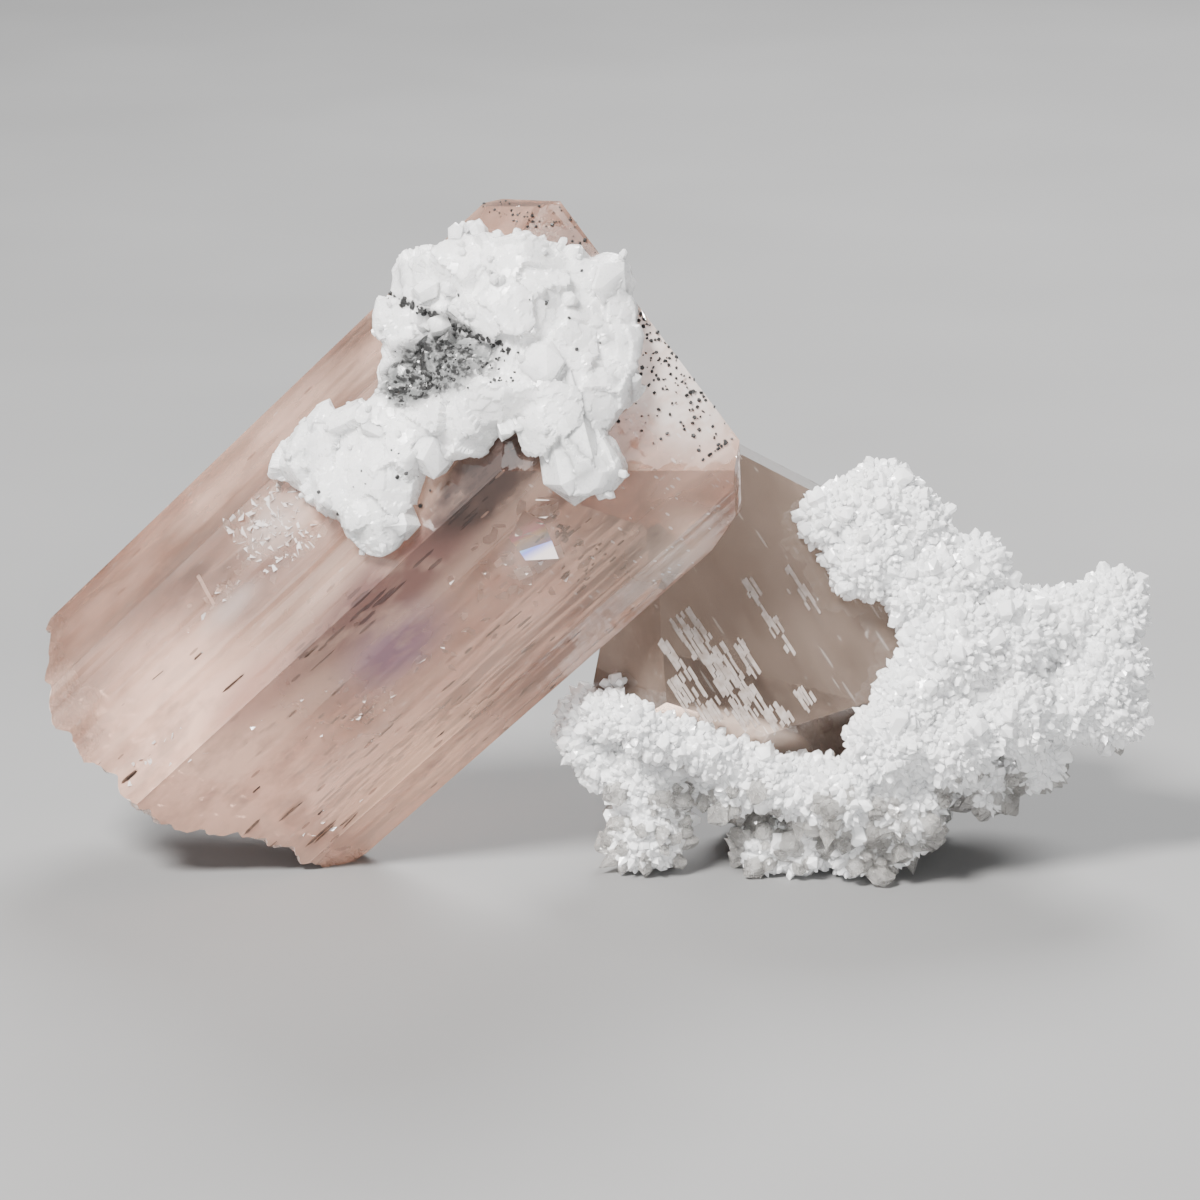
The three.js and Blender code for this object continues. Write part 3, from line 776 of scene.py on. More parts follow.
def crust_piece():
    """The massive crust on the leaning crystal, with blunt crystals standing out of it."""
    rng = np.random.default_rng(9)
    lumps = bridged(on_leaning(CRUST_LUMPS), CRUST_BRIDGE) + on_leaning(LOW_LUMPS)
    points, triangles, normals, faces = grown_body("crust body", lumps, CRUST_VOXEL, 1.1, 0.1)
    for facets in CRUST_FACETS:
        points = off_crystals(faceted(points, triangles, normals, *facets, rng))
    body = (points, triangles, normals, faces)
    for right, up, radius in HOLLOW_IN_CRUST:
        place = on_crystal(leaning, right, up)
        nearness = np.clip(1 - np.linalg.norm(points - place, axis=1) / (radius * 1.7), 0, 1)
        out, normal = leaning.outside(points)
        points -= normal * (nearness * np.clip(out - LEAST_CRUST, 0, None))[:, None]
    parts = [(points, faces)]
    for right, up, lift, width, length, towards in CRUST_BLOCKS:
        place = on_crystal(leaning, right, up, lift)[None]
        direction = view_direction(*towards)[None]
        ratio = length / width
        block = crystals_at(place, direction, np.array([width]), [LONG_BLOCK], 0.02, rng, (ratio, ratio))
        parts.append((off_crystals(block[0]), block[1]))

    def few(places, rng):
        return (rng.random(len(places)) < 0.05) & (places[:, 0] < EDGE_OF_CRUST)

    parts.append(druse_on(body, 1.5, (1.0, 2.2), [BLOCK, BLUNT_POINT], 0.6, rng, few))
    parts.append(druse_on(body, 0.8, (0.45, 0.8), [BLUNT_POINT, BLOCK], 0.6, rng, few))
    return new_piece("calcite_crust_skin", *joined(parts)), BVHTree.FromPolygons(points.tolist(), faces)


LONE_CRYSTAL = (1.4, -6.8)  # right, up


def lone_piece():
    rng = np.random.default_rng(3)
    place = on_crystal(second, *LONE_CRYSTAL, lift=0.35)
    around = place + rng.normal(0, 0.35, (3, 3))
    places = off_crystals(np.concatenate([[place], around]), 0.3)
    ups = np.tile(second.normals[1] @ second.axes.T, (len(places), 1))
    sizes = np.array([1.5, 0.8, 0.7, 0.9])
    points, faces = crystals_at(places, ups, sizes, [BLUNT_POINT], 0.3, rng)
    return new_piece("lone_calcite", off_crystals(points), faces)


# What the crystals hold: needles, cracks and specks

CORNERS = 5  # of a needle and of a flake
FLAKE_TURNS = np.array([0, 0.3, -0.2, 0.25, 0.1])
FLAKE_REACH = np.array([0.5, 0.38, 0.5, 0.33, 0.45])


def spindle():
    """A needle one unit long on its own Z, half a unit wide at its middle."""
    ring = circle(CORNERS) * 0.5
    tips = [[0, 0, -0.5], [0, 0, 0.5]]
    points = np.concatenate([ring - [0, 0, 0.3], ring * 0.9 + [0, 0, 0.32], tips])
    faces = wall(CORNERS)
    for i in range(CORNERS):
        j = (i + 1) % CORNERS
        faces += [(j, i, 2 * CORNERS), (CORNERS + i, CORNERS + j, 2 * CORNERS + 1)]
    return points, np.array(faces)


def flake():
    """A thin plate with an uneven rim, one unit across, with its face on Z."""
    rim = circle(CORNERS, FLAKE_TURNS) * FLAKE_REACH[:, None]
    points = np.concatenate([rim - [0, 0, 0.5], rim + [0, 0, 0.5]])
    faces = wall(CORNERS)
    for i in range(1, CORNERS - 1):
        faces += [(0, i + 1, i), (CORNERS, CORNERS + i, CORNERS + i + 1)]
    return points, np.array(faces)


def placed(form, places, frames, sizes):
    """One copy of a form at each place, in its own frame and at its own size along each axis."""
    form_points, form_faces = form
    local = form_points[None] * sizes[:, None]
    points = np.einsum("nij,nkj->nki", frames, local) + places[:, None]
    offsets = np.arange(len(places)) * len(form_points)
    return points.reshape(-1, 3), (form_faces[None] + offsets[:, None, None]).reshape(-1, 3)


LONG_WAY = 42.7  # degrees by which the leaning crystal's length rises to the right in the front view


def strewn(count, region, rng):
    """Places in the front view, in a region of (right, up, half-length, half-width, degrees from right),
    where the degrees are left out if it lies along the leaning crystal."""
    right, up, half_length, half_width, angle = (*region, LONG_WAY)[:5]
    along = rng.normal(0, half_length * 0.6, count).clip(-half_length, half_length)
    across = rng.normal(0, half_width * 0.6, count).clip(-half_width, half_width)
    c, s = math.cos(math.radians(angle)), math.sin(math.radians(angle))
    return np.stack([right + along * c - across * s, up + along * s + across * c], axis=1)


# Dark needles: (region, count, length, width)
NEEDLES = [
    ((-24, -15, 7, 4.5), 26, 1.6, 0.22),
    ((-13, -10.5, 13, 3.4), 44, 1.5, 0.20),
    ((-18.5, -14, 10, 1.6), 20, 2.4, 0.20),
    ((-29.5, -12, 6, 6), 10, 0.9, 0.22),
    ((-21, -1, 8, 1.6), 22, 2.4, 0.30),
    ((-11, 8.4, 4, 1.2), 16, 1.6, 0.2),
    ((-35, -6.2, 3, 1.4), 8, 1.8, 0.34),
    ((0.5, 3, 5, 4), 22, 0.9, 0.2),
    ((-2, -4.5, 9, 2.4), 16, 1.3, 0.18),
    ((-3.1, 5.9, 1.5, 0.6, -55), 16, 0.7, 0.34),
    ((-0.9, 2.8, 1.8, 0.5, 60), 16, 0.4, 0.18),
    ((-10.6, 10.2, 3.4, 0.5), 14, 0.9, 0.34),
]
# Single dark slits: (right, up, length, width)
SLITS = [
    (-37.4, -6.3, 2.9, 0.5), (-31, -6.9, 3, 0.34), (-40, -15, 2, 0.4), (-12.4, -10.4, 5.2, 0.24),
    (-26.2, -17.8, 3.4, 0.3), (-23.6, -19.8, 4.6, 0.26), (-21.4, -18.6, 3.6, 0.24),
]
# Clear and white cracks: (region, count, size, depth)
CRACKS = [
    ((-6, 4.2, 4, 3.6), 46, 1.5, 1.8),
    ((-27, 6.6, 3.6, 3), 300, 1, 0.3),
    ((-31.5, 1, 5, 1.4), 30, 0.9, 0.8),
    ((-20.4, -10, 3.4, 2), 60, 0.55, 0.5),
    ((-13, -2.6, 8, 3), 40, 1, 1.6),
    ((-37.5, -13.6, 3.6, 2.4), 30, 0.8, 0.6),
    ((-24, -19.2, 5, 0.9), 26, 0.7, 0.5),
    ((6.4, 5.4, 6, 3.2), 34, 0.5, 0.4),
    ((-5.4, 31.4, 3.6, 1.2, -12), 90, 0.45, 0.1),
    ((4.6, 21.4, 9, 2, -54), 110, 0.35, 0.1),
    ((-26, -6, 8, 4), 36, 0.8, 1.2),
]
LEAST_DEPTH = 0.3  # from each face to the middle of a needle or crack
TOP_DEPTH = 0.35  # of the shallowest ones, along the line of sight
NEEDLE_DEPTHS = 0.9  # how much deeper needles go
SLIT_DEPTH = 0.5
SLIT_THICKNESS = 0.2
CRACK_THICKNESS = 0.03


def inside_leaning(places, depth):
    """Only the places at least so deep inside the leaning crystal."""
    out, _ = leaning.outside(places)
    z = leaning.to_own(places)
    return (out < -depth) & (z[:, 2] > break_height(z[:, 0], z[:, 1]) + depth)


def strewn_inside(region, count, depth, rng):
    """Places down to that depth under the leaning crystal's faces."""
    spots = strewn(count, region, rng)
    places = np.array([on_crystal(leaning, r, u, -TOP_DEPTH - depth * rng.random()) for r, u in spots])
    return places[inside_leaning(places, LEAST_DEPTH)]


def needle_piece():
    rng = np.random.default_rng(21)
    length_axis = leaning.axes[:, 2]
    parts = []
    for region, count, length, width in NEEDLES:
        places = strewn_inside(region, count, NEEDLE_DEPTHS, rng)
        frames = spun(np.tile(length_axis, (len(places), 1)), 0.02, rng)
        stretch = rng.uniform(0.4, 1.5, len(places))
        widths = width * rng.uniform(0.6, 1.5, len(places))
        sizes = np.stack([widths, np.full(len(places), width), length * stretch], 1)
        parts.append(placed(spindle(), places, frames, sizes))
    for right, up, length, width in SLITS:
        places = on_crystal(leaning, right, up, -SLIT_DEPTH)[None] + rng.normal(0, 0.12, (3, 3))
        frames = spun(np.tile(length_axis, (3, 1)), 0.03, rng)
        sizes = np.array([[width, SLIT_THICKNESS, length]] * 3) * rng.uniform(0.6, 1, (3, 1))
        parts.append(placed(spindle(), places, frames, sizes))
    return new_piece("dark_needles", *joined(parts))


def crack_piece():
    rng = np.random.default_rng(22)
    parts = []
    for region, count, size, depth in CRACKS:
        places = strewn_inside(region, count, depth, rng)
        ups = np.tile(view_direction(-0.3, 0.5, 0.8), (len(places), 1))
        frames = spun(ups, 0.45, rng)
        sizes = size * rng.uniform(0.35, 1.25, (len(places), 1)) * np.array([[1.3, 0.9, 0.0]])
        sizes[:, 2] = CRACK_THICKNESS
        parts.append(placed(flake(), places, frames, sizes))
    return new_piece("inner_cracks", *joined(parts))


RAINBOW = (-6.0, 5.6, -1.0)  # right, up and lift of the crack that shows colours
# The outlines of its bright steps
BRIGHT_STEPS = [
    [(-5.95, 3.4), (-3.4, 4.85), (-3.06, 3.77), (-4.2, 3), (-5.3, 2.3)],
    [(-7.4, 2.6), (-6.1, 3.1), (-5.7, 2.2), (-6.9, 1.7)],
    [(-34.3, 2), (-34.05, 2.2), (-32.7, -0.3), (-32.9, -0.5)],
]


def rainbow_piece():
    """The one large crack that shows colours."""
    place = on_crystal(leaning, *RAINBOW)
    across = view_direction(0.74, -0.62, 0.1)
    up = unit(np.cross(across, view_direction(-0.3, 0.3, -0.9)))
    frame = np.stack([across, up, np.cross(across, up)], axis=1)[None]
    sheet = placed(flake(), place[None], frame, np.array([[6.4, 4.6, 0.04]]))
    return new_piece("rainbow_crack", *joined([sheet]))


def step_piece():
    """Small steps of the crack that catch the light."""
    parts = []
    for corners in BRIGHT_STEPS:
        count = len(corners)
        front, back = ([on_crystal(leaning, r, u, lift) for r, u in corners] for lift in (-0.4, -0.5))
        faces = [tuple(range(count)), tuple(range(2 * count - 1, count - 1, -1))]
        faces += [(i, i + count, (i + 1) % count + count, (i + 1) % count) for i in range(count)]
        parts.append((np.array(front + back), faces))
    return new_piece("bright_crack_steps", *joined(parts))


# What the etching left on the second crystal's broad face: patches of narrow strips, as
# [right, up, width, length]
ETCHED_PATCHES = [
    (8.3, -3.4, 2.4, 5.6), (10.8, -6.2, 2.4, 5), (7.6, -7.8, 2.2, 3.6), (12.8, -9.2, 2.8, 3.4),
    (15.2, -10, 2, 2.6), (14.5, -1.5, 0.8, 8), (17.5, 0.6, 0.7, 6), (12.6, -5, 1.2, 4),
    (9.6, -9.6, 2, 2.2), (17.6, -8.4, 1.2, 2.4), (6.2, -5, 0.8, 4),
]
STRIP_SPACING = 0.24


def etched_piece():
    """Strips of uneven length that lie along the striations, a little proud of the face."""
    rng = np.random.default_rng(31)
    across, _, along = second.axes.T
    cube = np.array([(x, y, z) for x in (-0.5, 0.5) for y in (-0.5, 0.5) for z in (-0.5, 0.5)])
    sides = np.array([(0, 1, 3, 2), (4, 6, 7, 5), (0, 4, 5, 1), (2, 3, 7, 6), (0, 2, 6, 4), (1, 5, 7, 3)])
    parts = []
    for right, up, width, length in ETCHED_PATCHES:
        middle = on_crystal(second, right, up)
        for column in np.arange(-width / 2, width / 2, STRIP_SPACING):
            start = -length / 2 + length * 0.3 * rng.random()
            while start < length * 0.4:
                run = min(rng.uniform(0.35, 2.2), length / 2 - start)
                place = middle + across * (column + 0.1 * rng.normal()) + along * (start + run / 2)
                if rng.random() < 0.84 and run > 0.2:
                    size = np.array([rng.uniform(0.18, 0.34), rng.uniform(0.06, 0.18), run * 0.98])
                    skewed = cube * size + np.array([0, 0, 0.5]) * cube[:, :1] * size[0]
                    parts.append((place + skewed @ second.axes.T, sides))
                start += run
    return new_piece("etched_strips", *joined(parts))


# Black specks: (region, count, size, whether they may sit on the crust)
SPECKS = [
    ((4.2, 21.6, 10.5, 2, -54), 260, 0.24, False),
    ((3, 16.6, 3.6, 2, -50), 26, 0.22, False),
    ((-6, 32.6, 4, 1.3, -12), 60, 0.2, False),
    ((-16, 29.6, 3, 1), 16, 0.2, False),
    ((-12.8, 23.5, 5.6, 0.35, -25), 150, 0.34, True),
    ((-13, 20, 4.4, 2, 0), 50, 0.28, True),
    ((-15.8, 18, 2.2, 1.2, 10), 34, 0.34, True),
    ((-8, 19.4, 2, 1.2, 0), 14, 0.26, True),
    ((-6, 24, 6, 4, 0), 14, 0.26, True),
    ((-20, 10, 5, 3.5, 20), 12, 0.26, True),
]


def speck_piece(crust_tree):
    """Black specks that lie on the crystal's tip and in the crust's hollow."""
    rng = np.random.default_rng(23)
    parts = []
    for region, count, size, on_crust in SPECKS:
        places = []
        for right, up in strewn(count, region, rng):
            hit = crust_tree.ray_cast(Vector(EYE), Vector(sightline(right, up)))[0]
            if hit is not None and on_crust:
                places.append(np.array(hit))
            elif hit is None:
                places.append(on_crystal(leaning, right, up))
        places = np.array(places)
        out, _ = leaning.outside(places)
        places = places[(out < 0.02) | on_crust]
        places = places[inside_box(places + 0.2) & inside_box(places - 0.2)]
        frames = spun(rng.normal(0, 1, places.shape), 0.1, rng)
        sizes = size * rng.uniform(0.4, 1.3, (len(places), 1)) * rng.uniform(0.7, 1.4, (len(places), 3))
        parts.append(placed(spindle(), places, frames, sizes))
    return new_piece("black_specks", *joined(parts))


# Materials

DANBURITE_IOR = 1.63
CALCITE_IOR = 1.6
PALE_LINES = (0.93, 0.88, 0.84)  # the danburite's fine growth lines and dashes
# The colour that light takes on inside the danburite, and the density for it
LEANING_ABSORPTION = ((0.85, 0.64, 0.54), 20)
SECOND_ABSORPTION = ((0.80, 0.66, 0.56), 20)


def evenly(scale):
    """Axes, place and scales of a noise that is the same in every direction."""
    return UNTURNED, (0, 0, 0), (scale, scale, scale)


class Nodes:
    """Short calls for building one material's nodes."""

    def __init__(self, name):
        self.material = bpy.data.materials.new(name)
        self.material.use_nodes = True
        self.tree = self.material.node_tree
        self.shader = self.tree.nodes["Principled BSDF"]
        self.coordinates = self.tree.nodes.new("ShaderNodeTexCoord").outputs["Object"]

    def add(self, kind, links=(), **values):
        node = self.tree.nodes.new(kind)
        for key, value in values.items():
            setattr(node, key, value)
        for socket, source in dict(links).items():
            self.set(node, socket, source)
        return node

    def set(self, node, socket, source):
        if isinstance(source, bpy.types.NodeSocket):
            self.tree.links.new(source, node.inputs[socket])
        else:
            node.inputs[socket].default_value = source

    def surface(self, **values):
        """Sets the shader's sockets, with _ for the spaces in their names."""
        for socket, source in values.items():
            self.set(self.shader, socket.replace("_", " "), source)

    def mapped(self, axes, place, scale):
        """Coordinates in a crystal's own frame, in millimetres, then scaled along each axis."""
        links = {0: self.coordinates, 1: tuple(place)}
        moved = self.add("ShaderNodeVectorMath", links, operation="SUBTRACT")
        turned = self.add("ShaderNodeMapping", {"Vector": moved.outputs[0]}, vector_type="TEXTURE")
        turned.inputs["Rotation"].default_value = Matrix(axes.tolist()).to_euler()
        sized = self.add("ShaderNodeMapping", {"Vector": turned.outputs[0]})
        sized.inputs["Scale"].default_value = [s / MM for s in scale]
        return sized.outputs[0]

    def noise(self, axes, place, scale, detail, rough):
        vector = self.mapped(axes, place, scale)
        values = {"Vector": vector, "Scale": 1.0, "Detail": detail, "Roughness": rough}
        return self.add("ShaderNodeTexNoise", values).outputs["Fac"]

    def ramp(self, source, *stops):
        """A ramp of (place, value or colour) stops."""
        node = self.add("ShaderNodeValToRGB", {"Fac": source})
        elements = node.color_ramp.elements
        while len(elements) < len(stops):
            elements.new(0.5)
        for element, (place, colour) in zip(elements, stops):
            element.position = place
            element.color = (*colour, 1) if isinstance(colour, tuple) else (colour, colour, colour, 1)
        return node.outputs["Color"]

    def mix(self, share, first, second):
        node = self.add("ShaderNodeMix", data_type="RGBA", blend_type="MIX")
        self.set(node, 0, share)
        for socket, value in ((6, first), (7, second)):
            value = (*value, 1) if isinstance(value, tuple) and len(value) == 3 else value
            self.set(node, socket, value)
        return node.outputs[2]

    def math(self, operation, *values):
        node = self.add("ShaderNodeMath", operation=operation)
        for socket, value in enumerate(values):
            self.set(node, socket, value)
        return node.outputs[0]

    def times(self, first, second):
        return self.math("MULTIPLY", first, second)

    def near(self, crystal, spot, radii, axes, soft):
        """One inside an egg of the given half-lengths in millimetres, fading to nought at its skin. The
        spot on the crystal is (right, up, lift)."""
        vector = self.mapped(axes, to_frame(on_crystal(crystal, *spot)), [1 / r for r in radii])
        length = self.add("ShaderNodeVectorMath", {0: vector}, operation="LENGTH").outputs["Value"]
        fade = self.add("ShaderNodeMapRange", {"Value": length, "From Min": 1.0, "From Max": 1.0 - soft})
        fade.interpolation_type = "SMOOTHSTEP"
        return fade.outputs["Result"]

    def spots(self, axes, place, cell, size, share):
        """One in a share of long or round spots, each in its own cell of that size in millimetres."""
        vector = self.mapped(axes, place, [1 / c for c in cell])
        node = self.add("ShaderNodeTexVoronoi", {"Vector": vector, "Scale": 1.0})
        near = self.math("LESS_THAN", node.outputs["Distance"], size)
        split = self.add("ShaderNodeSeparateColor", {"Color": node.outputs["Color"]})
        return self.times(near, self.math("LESS_THAN", split.outputs[0], share))

    def bump(self, height, strength, distance):
        node = self.add("ShaderNodeBump", {"Height": height, "Strength": strength, "Distance": distance})
        self.surface(Normal=node.outputs[0])


def frame_place(crystal):
    """Where the crystal's own origin lies in the solids' frame, in metres."""
    return (crystal.place - FRAME_SHIFT) * MM


def danburite_material(name, crystal, pale, deep, shift):
    """The nodes that both crystals share: soft clouds and streaks along the crystal, and fine lines."""
    m = Nodes(name)
    place = frame_place(crystal)
    clouds = m.noise(crystal.axes, place + shift, (0.13, 0.13, 0.05), 4, 0.6)
    streak = m.noise(crystal.axes, place, (0.5, 0.5, 0.06), 3, 0.5)
    lines = m.noise(crystal.axes, place, (3.2, 3.2, 0.1), 3, 0.6)
    share = m.math("ADD", m.times(clouds, 0.8), m.times(streak, 0.2))
    colour = m.ramp(share, (0.34, deep), (0.64, pale))
    colour = m.mix(m.ramp(lines, (0.6, 0.0), (0.78, 0.16)), colour, PALE_LINES)
    flecks = m.spots(crystal.axes, place, (0.5, 0.5, 1.6), 0.2, 0.16)
    colour = m.mix(m.times(flecks, 0.35), colour, (0.96, 0.90, 0.86))
    m.surface(Roughness=m.ramp(lines, (0.3, 0.03), (0.8, 0.1)), IOR=DANBURITE_IOR)
    clear = m.ramp(share, (0.34, 0.9), (0.64, 0.62))
    m.bump(lines, 0.15, 0.00004)
    return m, colour, clear


# Zones of colour in the leaning crystal:
# (right, up, depth, half-lengths, colour, strength, fade, clearness)
ZONES = [
    (-33, -13, 3, (18, 16, 15), (1, 0.63, 0.48), 0.95, 0.8, 0.42),
    (-15, -13.5, 3, (6, 9, 16), (1, 0.61, 0.43), 0.95, 0.8, 0.4),
    (4, 6.5, 3, (10, 10, 11), (0.43, 0.31, 0.24), 0.85, 0.8, 0.6),
    (6.4, 5.2, 1.5, (4.5, 6, 6), (0.66, 0.48, 0.39), 0.9, 0.8, 0.25),
    # The pale, milky zone on the roof face of the tip: partly the face's own tone, partly a painted sheen
    (5, 18.5, 0.5, (10, 3, 10), (0.96, 0.90, 0.85), 0.85, 0.6, 0.45),
    (-28.5, -7.2, 1.5, (3, 5, 9), (0.52, 0.29, 0.23), 0.8, 0.7, 0.55),
    (-17.4, 1.6, 1.5, (4.2, 8, 18), (0.15, 0.065, 0.06), 0.95, 0.65, 0.64),
    (-10, 9.8, 1.2, (4.2, 8, 9), (0.03, 0.015, 0.012), 1, 0.6, 0.35),
    (-8.8, 11.2, 1.2, (3.8, 8, 6.5), (0.05, 0.03, 0.025), 1, 0.4, 0.3),
    (-28, 1.6, 2, (3.4, 6, 9), (0.30, 0.19, 0.16), 0.8, 0.7, 0.66),
    (-36, 3, 1, (1.2, 5, 22), (0.36, 0.28, 0.24), 0.7, 0.9, 0.7),
    (-17.4, -3.6, 1.5, (4.4, 5, 9), (0.27, 0.16, 0.215), 1, 0.75, 0.5),
    (-27.5, 6.6, 0.8, (3.6, 4, 5.5), (0.94, 0.89, 0.87), 0.4, 0.9, 0.4),
    (-31.2, -0.4, 1, (1.6, 4, 5), (0.86, 0.76, 0.71), 0.5, 0.8, 0.5),
    (-6, 4.6, 1, (3.6, 4, 5), (0.86, 0.67, 0.60), 0.7, 0.8, 0.55),
    (11, 0, 0.5, (1.6, 4, 20), (0.96, 0.76, 0.66), 0.8, 0.8, 0.35),
]


def leaning_material():
    tones = ((0.87, 0.60, 0.48), (0.55, 0.37, 0.29))
    m, colour, clear = danburite_material("danburite_leaning", leaning, *tones, 0.0)
    place = frame_place(leaning)
    uneven = m.ramp(m.noise(leaning.axes, place, (0.42, 0.42, 0.2), 3, 0.6), (0.3, 0.5), (0.52, 1.0))
    for right, up, depth, radii, tint, strength, fade, clearness in ZONES:
        egg = m.near(leaning, (right, up, -depth), radii, leaning.axes, fade)
        here = m.times(m.times(egg, strength), uneven)
        colour = m.mix(here, colour, tint)
        clear = m.mix(here, clear, (clearness, clearness, clearness))
    dashes = m.spots(leaning.axes, place, (0.8, 0.8, 3.4), 0.17, 0.2)
    colour = m.mix(m.times(dashes, 0.6), colour, (0.28, 0.17, 0.13))
    pits = m.spots(leaning.axes, place, (1.3, 0.8, 0.5), 0.22, 0.3)
    tip = m.near(leaning, (6.0, 8.0, 0), (14, 12, 16), leaning.axes, 0.3)
    colour = m.mix(m.times(m.times(pits, tip), 0.7), colour, (0.95, 0.90, 0.87))
    m.surface(Base_Color=colour, Transmission_Weight=clear)
    return with_absorption(m, *LEANING_ABSORPTION)


STRIP_SLOPE = -17  # degrees in the picture, of the smooth strip under the second crystal's broad face


def second_material():
    tones = ((0.42, 0.32, 0.265), (0.30, 0.225, 0.18))
    m, colour, clear = danburite_material("danburite_second", second, *tones, 0.02)
    place = frame_place(second)
    strip_axes = VIEW_AXES @ turn("Z", STRIP_SLOPE)
    strip = m.near(second, (12.6, -12.0), (9, 2.6, 12), strip_axes, 0.4)
    colour = m.mix(strip, colour, (0.55, 0.43, 0.36))
    clear = m.mix(strip, clear, (0.1, 0.1, 0.1))
    broad_face = m.near(second, (14, -1), (24, 1.6, 30), second.axes, 0.5)
    dashes = m.times(m.spots(second.axes, place, (0.5, 1.6, 5), 0.22, 0.3), broad_face)
    colour = m.mix(m.times(dashes, 0.5), colour, PALE_LINES)
    m.surface(Base_Color=colour, Transmission_Weight=clear)
    return with_absorption(m, *SECOND_ABSORPTION)


def break_material():
    m = Nodes("danburite_break")
    grain = m.noise(*evenly(1.2), 5, 0.65)
    m.surface(
        Base_Color=m.ramp(grain, (0.3, (0.74, 0.53, 0.44)), (0.65, (0.96, 0.82, 0.74))),
        Roughness=m.ramp(grain, (0.2, 0.12), (0.8, 0.4)), Transmission_Weight=0.35, IOR=DANBURITE_IOR,
    )
    m.bump(grain, 0.5, 0.0002)
    return with_absorption(m, *LEANING_ABSORPTION)


def plain_material(name, dark, light, roughness, clear):
    """A solid colour with an uneven tone."""
    m = Nodes(name)
    tone = m.noise(*evenly(1.5), 3, 0.5)
    m.surface(
        Base_Color=m.ramp(tone, (0.35, dark), (0.65, light)), Roughness=roughness,
        Transmission_Weight=clear, IOR=1.5,
    )
    return m.material


def rainbow_material():
    """Bands of colour along the crack, as a thin film of air gives."""
    m = Nodes("rainbow_crack")
    ways = ((0.5, -0.85, 0), (0.85, 0.5, 0), (0, 0, 1))
    axes = np.stack([view_direction(*way) for way in ways], axis=1)
    vector = m.mapped(axes, to_frame(on_crystal(leaning, *RAINBOW)), (0.2, 0.2, 0.2))
    along = m.add("ShaderNodeSeparateXYZ", {"Vector": vector}).outputs["X"]
    wave = m.math("ADD", along, 0.5)
    pale = (0.86, 0.78, 0.76)
    bands = [
        (0.2, pale), (0.42, (0.92, 0.36, 0.48)), (0.52, (0.94, 0.80, 0.38)),
        (0.62, (0.36, 0.64, 0.68)), (0.74, (0.26, 0.28, 0.74)), (0.9, pale),
    ]
    m.surface(Base_Color=m.ramp(wave, *bands), Roughness=0.2, Transmission_Weight=0.25, IOR=1.4)
    return m.material


def with_absorption(m, colour, density):
    absorb = m.add("ShaderNodeVolumeAbsorption")
    absorb.inputs["Color"].default_value = (*colour, 1)
    absorb.inputs["Density"].default_value = density
    output = next(n for n in m.tree.nodes if n.type == "OUTPUT_MATERIAL")
    m.tree.links.new(absorb.outputs[0], output.inputs["Volume"])
    return m.material


def calcite_material(name, pale, shade, scatter, clear, roughness):
    m = Nodes(name)
    broad = m.noise(*evenly(0.25), 4, 0.6)
    fine = m.noise(UNTURNED, (3, 1, 2), (2.2, 2.2, 2.2), 3, 0.5)
    m.surface(
        Base_Color=m.ramp(broad, (0.32, shade), (0.6, pale)),
        Roughness=m.ramp(fine, (0.25, roughness[0]), (0.75, roughness[1])), IOR=CALCITE_IOR,
        Subsurface_Weight=scatter, Subsurface_Radius=(1.0, 0.97, 0.93), Subsurface_Scale=0.0012,
        Transmission_Weight=clear,
    )
    m.bump(fine, 0.25, 0.0001)
    return m.material


# Where the crust is thin and glassy: (right, up, half-lengths)
THIN_CRUST = [(-1.9, 12.2, (4.4, 5.4, 9)), (-20.4, 6.6, (5.5, 3, 9)), (-7.6, 13.8, (3.4, 2.2, 9))]
SEAM_SLOPE = -25  # degrees in the picture


